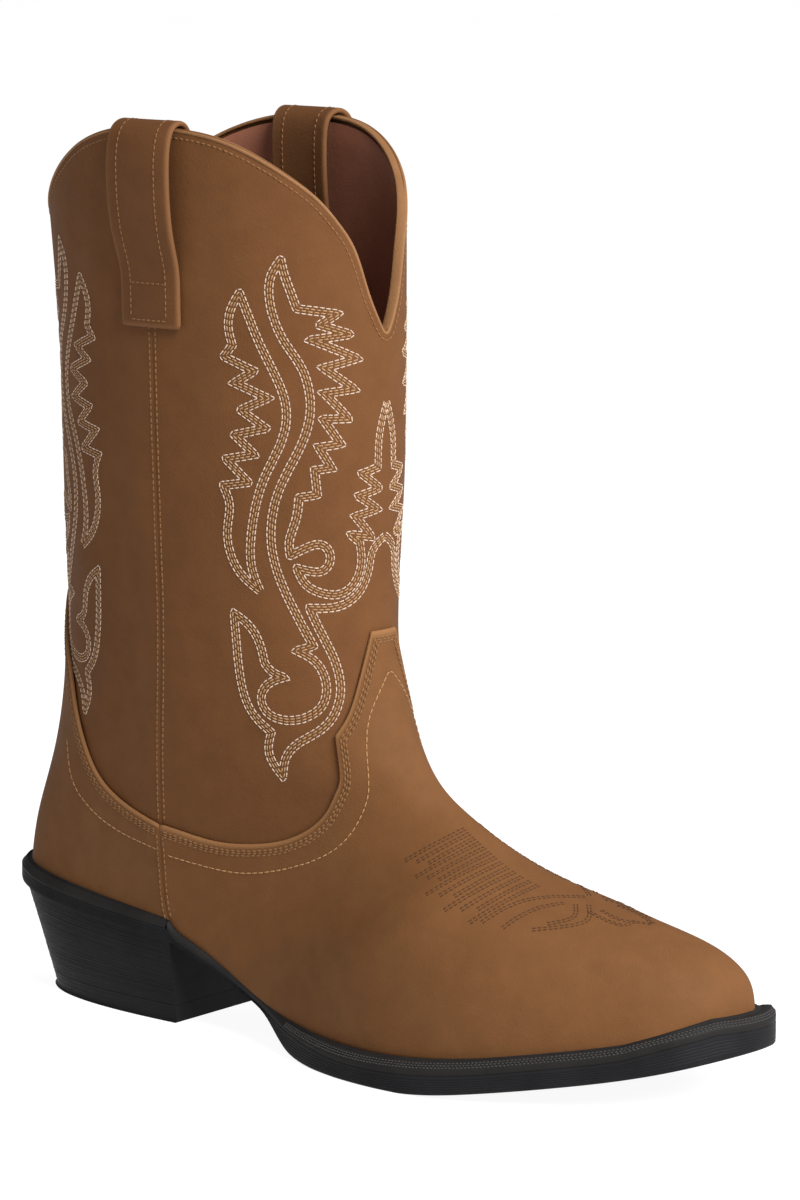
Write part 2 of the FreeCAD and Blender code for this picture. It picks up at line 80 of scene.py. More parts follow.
# How full the arcs are by station, the top edge's height by turn, and the stations of the vamp's and
# the counter's upper edges by turn.
FULL_FRONT = [(0, 0.0), (4, 0.02), (8, 0.08), (14, 0.12), (17, 0.08), (TOE, -0.03)]
FULL_BACK = [(0, 0.0), (3, 0.02), (5, 0.08), (SEAT, 0.26)]
TOP_EDGE = [(-5, 262.5), (0, 257.5), (5, 262.5), (11, 273), (16, 285), (23, 295.6), (31, 304.3),
            (41, 312.2), (54, 320.5), (66, 326), (78, 328.5), (90, 329), (102, 327.5), (116, 322),
            (130, 312.5), (144, 302), (158, 293.7), (170, 289.4), (180, 288.5), (190, 289.4)]
TONGUE_TOP, TONGUE_CORNER, SCALLOP_CORNER = 3.46, 9.0, 33.0
TONGUE_SIDE = [(9, 3.46), (18, 4.22), (25, 4.78), (33, 5.22)]
SCALLOP = [(33, 5.22), (36, 6.08), (40, 6.58), (45, 7.03), (52, 7.38), (59, 7.41), (67, 7.17),
           (76, 6.80), (84, 6.44), (90, 6.22)]
COUNTER_EDGE = [(-8, 3.12), (0, 3.06), (8, 3.12), (20, 3.5), (32, 4.06), (42, 4.63), (49, 5.10),
                (56, 5.47), (65, 5.86), (73, 6.06), (81, 6.17), (90, 6.24)]


class Curve:
    """A smooth curve, the natural cubic, through (position, value) knots."""

    def __init__(self, knots):
        self.t = np.array([k[0] for k in knots], float)
        self.v = np.array([k[1] for k in knots], float)
        n = len(knots)
        h = np.diff(self.t)
        slope = np.diff(self.v) / h
        system = np.eye(n)
        right = np.zeros(n)
        for i in range(1, n - 1):
            system[i, i - 1:i + 2] = h[i - 1], 2 * (h[i - 1] + h[i]), h[i]
            right[i] = 6 * (slope[i] - slope[i - 1])
        self.bend = np.linalg.solve(system, right)

    def __call__(self, t):
        t = np.asarray(t, float)
        i = np.clip(np.searchsorted(self.t, t, side="right") - 1, 0, len(self.t) - 2)
        h = self.t[i + 1] - self.t[i]
        a = (self.t[i + 1] - t) / h
        b = 1 - a
        cubic = (a ** 3 - a) * self.bend[i] + (b ** 3 - b) * self.bend[i + 1]
        return a * self.v[i] + b * self.v[i + 1] + cubic * h * h / 6


def plane_curve(points, places):
    """The smooth curve that has these points of the plane at these places along it."""
    across, up = (Curve(list(zip(places, points[:, k]))) for k in range(2))
    return lambda t: np.stack([across(t), up(t)], -1)


def by_station(values):
    return Curve(list(enumerate(values)))


ridge_x, ridge_z, ridge_y, side_x, side_z, half_lateral, half_medial = map(by_station, zip(*STATIONS))
back_x, back_z = map(by_station, zip(*BACK_LINE))
full_front = Curve(FULL_FRONT)
full_back = Curve(FULL_BACK)
top_height = Curve(TOP_EDGE)
tongue_side = Curve(TONGUE_SIDE)
scallop = Curve(SCALLOP)
counter_curve = Curve(COUNTER_EDGE)


def outline_slope(half, s):
    """How the half width of the feather line changes with x. It fades to 0 up the shaft."""
    first, softness, step = SEAT + 0.6, 1.0, 0.01
    fade_first, fade_over = SEAT - 3, 4.5
    t = np.minimum(first + (s - first + np.hypot(s - first, softness)) / 2, TOE - step)
    slope = (half(t + step) - half(t - step)) / (side_x(t + step) - side_x(t - step))
    fade = np.clip((s - fade_first) / fade_over, 0, 1)
    return slope * fade * fade * (3 - 2 * fade)


def arc(s, turn):
    """Points of the skin at depth 0, in the last's frame."""
    s, turn = np.broadcast_arrays(np.asarray(s, float), np.asarray(turn, float))
    front = np.abs(turn) <= 90
    phi = np.radians(np.where(front, np.abs(turn), 180 - np.abs(turn)))
    seat_s = np.minimum(s, SEAT)
    full = np.where(front, full_front(s), full_back(seat_s))
    along = (np.cos(phi) * (1 + full * np.sin(phi) ** 2))[..., None]
    across = (np.sin(phi) * (1 + full * np.cos(phi) ** 2))[..., None]
    sign = np.where(turn >= 0, 1.0, -1.0)
    half = np.where(turn >= 0, half_medial(s), half_lateral(s))
    side = np.stack([side_x(s), sign * half, side_z(s)], -1)
    end_front = np.stack([ridge_x(s), ridge_y(s), ridge_z(s)], -1)
    end_back = np.stack([back_x(seat_s), 0 * s, back_z(seat_s)], -1)
    end = np.where(front[..., None], end_front, end_back)
    slope = np.where(turn >= 0, outline_slope(half_medial, s), outline_slope(half_lateral, s))
    lean = np.where(front, slope * (end[..., 0] - side[..., 0]), 0)
    centre = np.stack([side[..., 0], end[..., 1] - sign * lean, side[..., 2]], -1)
    return centre + (end - centre) * along + (side - centre) * across


STATION_STEP, TURN_STEP = 0.03, 0.4      # reach of the differences that give the skin's slope


def skin(s, turn, depth=0.0):
    """Points and outward normals of the skin at a depth in mm. Points are in metres."""
    s, turn = np.broadcast_arrays(np.asarray(s, float), np.asarray(turn, float))
    down = arc(np.minimum(s + STATION_STEP, TOE), turn) - arc(np.maximum(s - STATION_STEP, 0), turn)
    front = np.abs(turn) <= 90
    after = np.where(front, np.minimum(turn + TURN_STEP, 90), turn + TURN_STEP)
    before = np.where(front, np.maximum(turn - TURN_STEP, -90), turn - TURN_STEP)
    normal = np.cross(down, arc(s, after) - arc(s, before))
    normal /= np.linalg.norm(normal, axis=-1, keepdims=True)
    point = arc(s, turn) + normal * np.asarray(depth, float)[..., None]
    return (point + SHIFT) * MM, normal


def station_at(z, turn):
    """The station on the shaft where the skin has height z, in mm."""
    z, turn = np.broadcast_arrays(np.asarray(z, float), np.asarray(turn, float))
    low, high = np.zeros(z.shape), np.full(z.shape, float(SEAT))
    halvings = 30
    for _ in range(halvings):
        middle = (low + high) / 2
        above = arc(middle, turn)[..., 2] > z
        low = np.where(above, middle, low)
        high = np.where(above, high, middle)
    return low


def top_edge(turn):
    return station_at(top_height(np.abs(turn)), turn)


def vamp_edge(turn):
    turn = np.abs(turn)
    side = np.where(turn <= SCALLOP_CORNER, tongue_side(turn), scallop(turn))
    return np.where(turn <= TONGUE_CORNER, TONGUE_TOP, side)


def counter_edge(turn):
    return counter_curve(180 - np.abs(turn))


# ---- mesh helpers ----
def unit(vectors):
    return vectors / np.maximum(np.linalg.norm(vectors, axis=-1, keepdims=True), 1e-12)


def lengths(points):
    """How far along a path each of its points lies."""
    return np.concatenate([[0], np.cumsum(np.linalg.norm(np.diff(points, axis=0), axis=1))])


def resample(points, step):
    """The same path with points at an even step. Any columns after the third are carried along."""
    run = lengths(points[:, :3])
    count = max(2, int(round(run[-1] / step)) + 1)
    places = np.linspace(0, run[-1], count)
    return np.stack([np.interp(places, run, points[:, k]) for k in range(points.shape[1])], 1)


def enclosed(points, faces):
    """The volume inside a closed mesh, negative if its faces look inwards."""
    total = 0.0
    for size in {len(f) for f in faces}:
        group = points[np.array([f for f in faces if len(f) == size])]
        for k in range(1, size - 1):
            total += np.einsum("ij,ij->", group[:, 0], np.cross(group[:, k], group[:, k + 1]))
    return total / 6


def piece(name, points, faces, material, slot_name, replaced=(), edge=None, sharp=None):
    """A new mesh piece of the boot. edge is a value from 0 to 1 at each vertex, for its material.
    Edges that turn by more than sharp degrees stay crisp."""
    points = np.asarray(points, float)
    if enclosed(points, faces) < 0:
        faces = [f[::-1] for f in faces]
    mesh = bpy.data.meshes.new(name)
    mesh.from_pydata(points.tolist(), [], faces)
    mesh.polygons.foreach_set("use_smooth", [True] * len(mesh.polygons))
    if sharp is not None:
        mesh.set_sharp_from_angle(angle=math.radians(sharp))
    if edge is not None:
        layer = mesh.attributes.new("edge", "FLOAT", "POINT")
        layer.data.foreach_set("value", np.asarray(edge, np.float32))
    mesh.materials.append(material)
    obj = bpy.data.objects.new(name, mesh)
    bpy.context.scene.collection.objects.link(obj)
    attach(obj, "root")
    if replaced:
        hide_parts(*replaced)
    return obj


def grid_quads(rows, columns, start=0, closed=False):
    """Faces of a grid of points stored row by row. The rows of a closed grid are rings."""
    faces = []
    for i in range(rows - 1):
        for j in range(columns if closed else columns - 1):
            a = start + i * columns + j
            b = start + i * columns + (j + 1) % columns
            faces.append((a, b, b + columns, a + columns))
    return faces


def bar_faces(rows, columns):
    """Faces of a swept bar whose section is a closed loop, with flat ends."""
    last = (rows - 1) * columns
    ends = [tuple(range(columns))[::-1], tuple(range(last, last + columns))]
    return grid_quads(rows, columns, 0, True) + ends


def bar(grid):
    """Points and faces of a bar, from a grid with its section at each point of its path."""
    return grid.reshape(-1, 3), bar_faces(*grid.shape[:2])


def sheet_shell(outer, inner, round_rows=3):
    """Points and faces of a sheet with a rounded rim between two grids, and for each point of the
    rim the grid point that it goes with."""
    rows, columns = outer.shape[:2]
    count = rows * columns
    points = [outer.reshape(-1, 3), inner.reshape(-1, 3)]
    faces = [f[::-1] for f in grid_quads(rows, columns)] + grid_quads(rows, columns, count)
    loop = [(0, j) for j in range(columns)] + [(i, columns - 1) for i in range(1, rows)]
    loop += [(rows - 1, j) for j in range(columns - 2, -1, -1)]
    loop += [(i, 0) for i in range(rows - 2, 0, -1)]
    i, j = np.array(loop).T
    middle = (outer + inner) / 2
    half = ((outer - inner) / 2)[i, j]
    away = middle[i, j] - middle[np.clip(i, 1, rows - 2), np.clip(j, 1, columns - 2)]
    out = unit(away) * np.linalg.norm(half, axis=1, keepdims=True)
    from_grid = (i * columns + j).tolist()
    n = len(loop)
    rings = [from_grid]
    for row in range(round_rows):
        angle = math.pi / 2 * (1 - 2 * (row + 1) / (round_rows + 1))
        points.append(middle[i, j] + half * math.sin(angle) + out * math.cos(angle))
        rings.append(list(range(2 * count + row * n, 2 * count + (row + 1) * n)))
    rings.append([count + k for k in from_grid])
    for a, b in zip(rings, rings[1:]):
        faces += [(a[k], a[(k + 1) % n], b[(k + 1) % n], b[k]) for k in range(n)]
    return np.concatenate(points), faces, from_grid * round_rows


def rim_distance(grid, sides):
    """For each point of a grid, how far it is from the named sides, along the grid's lines."""
    distance = np.full(grid.shape[:2], 1.0)
    for side in sides:
        axis = 0 if side in ("top", "bottom") else 1
        order = -1 if side in ("bottom", "right") else 1
        lines = np.moveaxis(grid, axis, 0)[::order]
        run = np.cumsum(np.linalg.norm(np.diff(lines, axis=0), axis=-1), 0)
        run = np.concatenate([np.zeros((1, run.shape[1])), run])[::order]
        distance = np.minimum(distance, np.moveaxis(run, 0, axis))
    return distance


def between(first, last, rows):
    """Stations from one edge to another, a row for each step."""
    t = np.linspace(0, 1, rows)[:, None]
    return first[None, :] * (1 - t) + last[None, :] * t


# How far the paler burnished colour reaches in from a cut edge.
EDGE_FADE_MM, STRAP_FADE_MM = 0.35, 0.5


def cut_sheet(name, outer, inner, material, slot_name, replaced, sides, fade_mm, round_rows=3):
    """A sheet between two grids. sides are its cut, visible edges."""
    points, faces, rim_from = sheet_shell(outer, inner, round_rows)
    near = np.exp(-rim_distance(outer, sides) / (fade_mm * MM)).reshape(-1)
    edge = np.concatenate([near, near, near[rim_from]])
    return piece(name, points, faces, material, slot_name, replaced, edge)


def leather_sheet(name, turns, first, last, rows, depths, material, slot_name, replaced, sides=(),
                  crease=None):
    """A sheet of leather over the skin, from the stations first to the stations last."""
    stations = between(first, last, rows)
    turns = np.broadcast_to(turns, stations.shape)
    lift = crease(stations, turns) if crease else np.zeros(stations.shape)
    outer, inner = (skin(stations, turns, depth + lift)[0] for depth in depths)
    return cut_sheet(name, outer, inner, material, slot_name, replaced, sides, EDGE_FADE_MM)


# ---- materials ----
class Shader:
    """Builds one procedural material. A value that is a socket is linked, anything else is set."""

    def __init__(self, name):
        self.material = bpy.data.materials.new(name)
        self.material.use_nodes = True
        self.tree = self.material.node_tree
        self.tree.nodes.clear()
        self.coordinates = self.add("ShaderNodeTexCoord").outputs["Object"]

    def add(self, kind, values=None, **settings):
        node = self.tree.nodes.new(kind)
        for key, value in settings.items():
            setattr(node, key, value)
        for key, value in (values or {}).items():
            if isinstance(value, bpy.types.NodeSocket):
                self.tree.links.new(value, node.inputs[key])
            else:
                node.inputs[key].default_value = value
        return node

    def noise(self, scale, detail=4.0, roughness=0.55, distortion=0.0, stretch=None):
        vector = self.coordinates
        if stretch:
            vector = self.add("ShaderNodeMapping", {"Vector": vector, "Scale": stretch}).outputs[0]
        values = {"Vector": vector, "Scale": scale, "Detail": detail, "Roughness": roughness,
                  "Distortion": distortion}
        return self.add("ShaderNodeTexNoise", values).outputs["Fac"]

    def cells(self, scale):
        values = {"Vector": self.coordinates, "Scale": scale}
        return self.add("ShaderNodeTexVoronoi", values).outputs["Distance"]

    def ramp(self, value, stops):
        node = self.add("ShaderNodeValToRGB", {"Fac": value})
        band = node.color_ramp
        while len(band.elements) < len(stops):
            band.elements.new(0.5)
        for element, (position, colour) in zip(band.elements, stops):
            element.position = position
            element.color = (*colour, 1.0)
        return node.outputs["Color"]

    def remap(self, value, low, high, to_low, to_high):
        return self.add("ShaderNodeMapRange", {"Value": value, "From Min": low, "From Max": high,
                                               "To Min": to_low, "To Max": to_high}).outputs[0]

    def mix(self, amount, a, b, blend="MIX"):
        a, b = (c if isinstance(c, bpy.types.NodeSocket) else (*c, 1.0) for c in (a, b))
        node = self.add("ShaderNodeMix", data_type="RGBA", blend_type=blend,
                        values={0: amount, 6: a, 7: b})
        return node.outputs[2]

    def bump(self, height, distance, strength, below=None):
        values = {"Height": height, "Distance": distance, "Strength": strength}
        if below is not None:
            values["Normal"] = below
        return self.add("ShaderNodeBump", values).outputs[0]

    def finish(self, **values):
        """The finished material. The values are inputs of its Principled shader."""
        values = {key.replace("_", " "): value for key, value in values.items()}
        shader = self.add("ShaderNodeBsdfPrincipled", values)
        self.add("ShaderNodeOutputMaterial", {"Surface": shader.outputs[0]})
        return self.material


def shades(colour, spread_by):
    """A darker, the given and a lighter tone of a colour."""
    return [tuple(c * k for c in colour) for k in (1 - spread_by, 1.0, 1 + spread_by)]


def leather(name, colour, edge_colour, rough=0.68, mottle=0.14, grain=1.0):
    """Smooth oiled leather: soft cloudy colour, fine pores and creases, a paler burnished edge."""
    s = Shader(name)
    dark, middle, light = shades(colour, mottle)
    clouds = s.noise(14, 5, 0.6, 0.4)
    fine = s.noise(110, 4, 0.6)
    base = s.ramp(clouds, [(0.32, dark), (0.5, middle), (0.7, light)])
    base = s.mix(0.5, base, s.ramp(fine, [(0.3, dark), (0.5, middle), (0.7, light)]))
    pores = s.cells(1500)
    speck = s.ramp(s.remap(pores, 0.0, 0.3, 0.0, 1.0), [(0.0, (0.78, 0.78, 0.78)), (1.0, (1, 1, 1))])
    base = s.mix(0.5, base, speck, "MULTIPLY")
    edge = s.add("ShaderNodeAttribute", attribute_name="edge").outputs["Fac"]
    base = s.mix(edge, base, edge_colour)
    roughness = s.remap(s.noise(60, 3), 0.3, 0.7, rough - 0.06, rough + 0.07)
    normal = s.bump(s.noise(420, 3, 0.5, 1.2), 0.00020 * grain, 0.5)
    normal = s.bump(pores, 0.00012 * grain, 0.5, normal)
    return s.finish(Base_Color=base, Roughness=roughness, Normal=normal,
                    Specular_IOR_Level=0.07)


def rubber(name, base, rough):
    """Matt black rubber with faint clouds and fine level scuffs."""
    s = Shader(name)
    cloud = s.noise(40, 4)
    colour = s.ramp(cloud, [(0.3, [0.8 * c for c in base]), (0.7, [1.25 * c for c in base])])
    scuff = s.noise(260, 5, 0.7, 0.5, (1, 1, 5))
    colour = s.mix(s.remap(scuff, 0.6, 0.8, 0.0, 0.35), colour, [2.4 * c for c in base])
    roughness = s.remap(scuff, 0.35, 0.75, rough - 0.06, rough + 0.12)
    normal = s.bump(s.noise(900, 3, 0.6, 0.0, (1, 1, 3)), 0.0001, 0.5)
    return s.finish(Base_Color=colour, Roughness=roughness, Normal=normal,
                    Specular_IOR_Level=0.05)


def thread(name, base, rough=0.6):
    """Waxed thread, or another finely grained material."""
    s = Shader(name)
    colour = s.ramp(s.noise(900, 3), [(0.3, [0.72 * c for c in base]), (0.7, base)])
    normal = s.bump(s.noise(3500, 2), 0.00008, 0.6)
    return s.finish(Base_Color=colour, Roughness=rough, Normal=normal, Specular_IOR_Level=0.15)


SHAFT_LEATHER = leather("shaft_leather", (0.112, 0.046, 0.0165), (0.05, 0.022, 0.009))
VAMP_LEATHER = leather("vamp_leather", (0.126, 0.054, 0.0195), (0.20, 0.095, 0.038))
STRAP_LEATHER = leather("strap_leather", (0.102, 0.042, 0.016), (0.14, 0.062, 0.025))
LINING_LEATHER = leather("lining_leather", (0.235, 0.092, 0.055), (0.2, 0.09, 0.05), 0.5)
INSOLE_LEATHER = leather("insole_leather", (0.065, 0.032, 0.022), (0.1, 0.05, 0.03), 0.6)
EDGE_LEATHER = leather("edge_leather", (0.20, 0.098, 0.042), (0.20, 0.098, 0.042), 0.5)
SOLE_RUBBER = rubber("sole_rubber", (0.012, 0.012, 0.013), 0.5)
HEEL_RUBBER = rubber("heel_rubber", (0.011, 0.011, 0.012), 0.52)
CREAM_THREAD = thread("cream_thread", (0.54, 0.41, 0.32))
GOLD_THREAD = thread("gold_thread", (0.36, 0.215, 0.11))
TAN_THREAD = thread("tan_thread", (0.36, 0.195, 0.085))
BROWN_THREAD = thread("brown_thread", (0.068, 0.028, 0.0105))
OCHRE_THREAD = thread("ochre_thread", (0.195, 0.093, 0.036))
DARK_THREAD = thread("dark_thread", (0.040, 0.038, 0.037))
WELT_RUBBER = rubber("welt_rubber", (0.016, 0.015, 0.0145), 0.55)
STIFFENER_BOARD = leather("stiffener_board", (0.38, 0.29, 0.19), (0.38, 0.29, 0.19), 0.85)
TAPE_WEAVE = thread("tape_weave", (0.06, 0.03, 0.015))
CORK = leather("cork_filler", (0.30, 0.18, 0.09), (0.30, 0.18, 0.09), 0.9, 0.4)
STEEL = thread("spring_steel", (0.30, 0.31, 0.33), 0.35)


# ---- upper ----
LEATHER_MM = 1.6
GAP_MM = 0.05
LINING_OUT_MM = -2.1
LINING_IN_MM = -3.2
SEAM_GAP = 0.3           # half the gap at a side seam, in degrees


def front_turns(count=181):
    """Turns from the lateral seam over the front to the medial seam."""
    return np.linspace(-90 + SEAM_GAP, 90 - SEAM_GAP, count)


def wrap(turn):
    """A turn from 90 to 270 round the back as the skin's -180 to 180."""
    return np.where(turn > 180, turn - 360, turn)


def back_turns(count=151):
    """Turns from the medial seam round the back to the lateral seam."""
    return wrap(np.linspace(90 + SEAM_GAP, 270 - SEAM_GAP, count))


def soft_wave(stations, turns, seed, scale):
    """A smooth random rise and fall over the leather, about -1 to 1."""
    rng = np.random.default_rng(seed)
    waves = 9
    total = np.zeros(stations.shape)
    for _ in range(waves):
        a, b = rng.normal(size=2) * scale
        total = total + np.sin(a * stations + b * turns / 12 + rng.uniform(0, 2 * math.pi))
    return total / (waves / 2)


def shaft_crease(stations, turns):
    """Slight unevenness of the standing shaft, and the soft breaks above the ankle."""
    ankle = np.exp(-((stations - 4.9) / 0.8) ** 2)
    return 0.25 * soft_wave(stations, turns, 3, 1.6) - 0.35 * ankle * (
        0.5 + 0.5 * soft_wave(stations * 1.5, turns, 8, 2.6))


OVERLAP = 0.45           # stations that the shaft runs on under the vamp and the counter


def make_shaft():
    for name, turns, lower_edge in (("shaft_front", front_turns(), vamp_edge),
                                    ("shaft_back", back_turns(), counter_edge)):
        leather_sheet(name, turns, top_edge(turns), lower_edge(turns) + OVERLAP, 150,
                      (0.0, -LEATHER_MM), SHAFT_LEATHER, "shaft_leather", [name + "_panel"],
                      crease=shaft_crease)


def vamp_columns():
    """Turns of the vamp's columns: dense, and with one on each corner of its upper edge."""
    side = 90 - SEAM_GAP
    stops = [(-side, -SCALLOP_CORNER, 60), (-SCALLOP_CORNER, -TONGUE_CORNER, 26),
             (-TONGUE_CORNER, TONGUE_CORNER, 18), (TONGUE_CORNER, SCALLOP_CORNER, 26),
             (SCALLOP_CORNER, side, 60)]
    parts = [np.linspace(a, b, n + 1)[:-1] for a, b, n in stops]
    return np.concatenate(parts + [[side]])


def make_foot():
    """The vamp down to the toe, and the heel counter down to the heel seat."""
    for name, turns, upper_edge, end, rows, node in (
            ("vamp_upper", vamp_columns(), vamp_edge, TOE, 170, "vamp"),
            ("counter_upper", back_turns(), counter_edge, SEAT, 90, "heel_counter")):
        leather_sheet(name, turns, upper_edge(turns), np.full(turns.shape, float(end)), rows,
                      (LEATHER_MM, GAP_MM), VAMP_LEATHER, "vamp_leather", [node], ("top",))


def make_lining():
    """The lining runs round the whole leg and foot. Its back half ends at the heel seat."""
    columns, below_edge = 121, 0.03
    for name, turns, end, rows, nodes in (
            ("lining_front", front_turns(columns), TOE, 200, ["shaft_front_lining", "vamp_lining"]),
            ("lining_back", back_turns(columns), SEAT, 120, ["shaft_back_lining", "heel_lining"])):
        leather_sheet(name, turns, top_edge(turns) + below_edge, np.full(columns, float(end)), rows,
                      (LINING_OUT_MM, LINING_IN_MM), LINING_LEATHER, "lining", nodes)


# ---- stitching ----
PITCH_MM = 2.25          # length of one stitch and the space after it
THREAD_MM = 0.27         # radius of a stitch
CORNER_DEGREES = 48.0    # a path that turns by more than this has a corner there
PATH_STEP_MM = 0.4       # from one point of a path to the next
LOW_ROW_LIFT_MM = 0.1    # keeps the rows across the ankle's creases above the leather
MITRE_LIMIT = 0.42       # stops the mitre of a very sharp corner from running far out
LOOP_LIMIT = 0.97        # a point nearer to the path than this share of its offset is in a loop


def beside(points, normals, offset):
    """A path moved sideways over the surface, with mitred corners and no loops inside them."""
    steps = unit(np.diff(points, axis=0))
    before = np.concatenate([steps[:1], steps])
    after = np.concatenate([steps, steps[-1:]])
    a, b = unit(np.cross(normals, before)), unit(np.cross(normals, after))
    fit = np.maximum(1 + np.sum(a * b, 1, keepdims=True), MITRE_LIMIT)
    moved = points + (a + b) / fit * offset
    gaps = np.linalg.norm(moved[:, None] - points[None], axis=2).min(1)
    keep = gaps > LOOP_LIMIT * abs(offset)
    return moved[keep], normals[keep]


def stretches(points):
    """The path's stretches between its corners, as (first, last) indices."""
    reach = 3
    corners = [0]
    steps = unit(points[reach:] - points[:-reach])
    turns = np.degrees(np.arccos(np.clip(np.sum(steps[:-reach] * steps[reach:], 1), -1, 1)))
    for i, turn in enumerate(turns):
        near = turns[max(0, i - reach):i + reach + 1]
        if turn > CORNER_DEGREES and turn >= near.max() and i + reach - corners[-1] > reach:
            corners.append(i + reach)
    corners.append(len(points) - 1)
    return list(zip(corners, corners[1:]))


# One stitch: how far along it each of its rings stands, and their widths and rise in radii.
STITCH_RUN = np.array([0.08, 0.17, 0.5, 0.83, 0.92])
STITCH_WIDTH = np.array([0.35, 0.85, 1.0, 0.85, 0.35])
STITCH_RISE = np.array([-0.75, -0.15, 0.12, -0.15, -0.75])
STITCH_SIDES = 6
STITCH_FLAT = 0.8        # height of a stitch over its width


def stitch_places(rows, pitch_mm):
    """Points and normals of the rings of every stitch along rows, each a path with its normals."""
    found = []
    for points, around in rows:
        both = resample(np.concatenate([points, around], 1), PATH_STEP_MM * MM)
        for first, last in stretches(both[:, :3]):
            part = both[first:last + 1]
            run = lengths(part[:, :3])
            count = max(1, int(round(run[-1] / (pitch_mm * MM))))
            places = (np.arange(count)[:, None] + STITCH_RUN[None, :]) / count * run[-1]
            found.append(np.stack([np.interp(places, run, part[:, k]) for k in range(6)], -1))
    found = np.concatenate(found)
    return found[..., :3], unit(found[..., 3:])


def stitches(rows, radius_mm=THREAD_MM, pitch_mm=PITCH_MM, seed=1):
    """Points and faces of the stitches along rows."""
    centres, normals = stitch_places(rows, pitch_mm)
    count = len(centres)
    rng = np.random.default_rng(seed)
    side = unit(np.cross(normals, unit(np.gradient(centres, axis=1))))
    radius = radius_mm * MM * rng.uniform(0.92, 1.08, (count, 1, 1))
    jitter = rng.uniform(-0.16, 0.16, (count, 1, 1)) * radius
    middle = centres + normals * STITCH_RISE[None, :, None] * radius + side * jitter
    rings = []
    for k in range(STITCH_SIDES):
        angle = 2 * math.pi * k / STITCH_SIDES
        out = side * math.cos(angle) + normals * STITCH_FLAT * math.sin(angle)
        rings.append(middle + out * radius * STITCH_WIDTH[None, :, None])
    points = np.stack(rings, 2).reshape(-1, 3)
    one = bar_faces(len(STITCH_RUN), STITCH_SIDES)
    size = len(STITCH_RUN) * STITCH_SIDES
    return points, [tuple(n * size + k for k in face) for n in range(count) for face in one]


def sew(name, rows, thread_material, **settings):
    return piece(name, *stitches(rows, **settings), thread_material, "trim_leather")


def path_on_skin(stations, turns, depth_mm, crease=None):
    """A path over the leather with points at an even step, and its normals."""
    lift = crease(stations, turns) if crease else 0.0
    points, normals = skin(stations, turns, depth_mm + lift)
    both = resample(np.concatenate([points, normals], 1), PATH_STEP_MM * MM)
    return both[:, :3], unit(both[:, 3:])


def rows_on_skin(stations, turns, depth_mm, offsets_mm, crease=None):
    """Rows beside a path over the leather, each with its normals."""
    path = path_on_skin(stations, turns, depth_mm, crease)
    return [beside(*path, offset * MM) for offset in offsets_mm]


def smooth(points):
    """A smooth curve through points of the plane, close enough to draw with."""
    points = np.array(points, float)
    if len(points) == 2:
        return np.linspace(points[0], points[1], 24)
    run = lengths(points)
    return plane_curve(points, run)(np.linspace(0, run[-1], 14 * len(points)))


def drawn(start, *runs):
    """A path of runs with a corner between each two. A run of one point is straight."""
    path = [np.array([start], float)]
    for run in runs:
        path.append(smooth([tuple(path[-1][-1])] + list(run))[1:])
    return np.concatenate(path)


def teeth(inner, outer):
    """A zigzag as straight runs, from inner points to outer points in turn."""
    runs = []
    for a, b in zip(inner, outer):
        runs += [[a], [b]]
    return runs


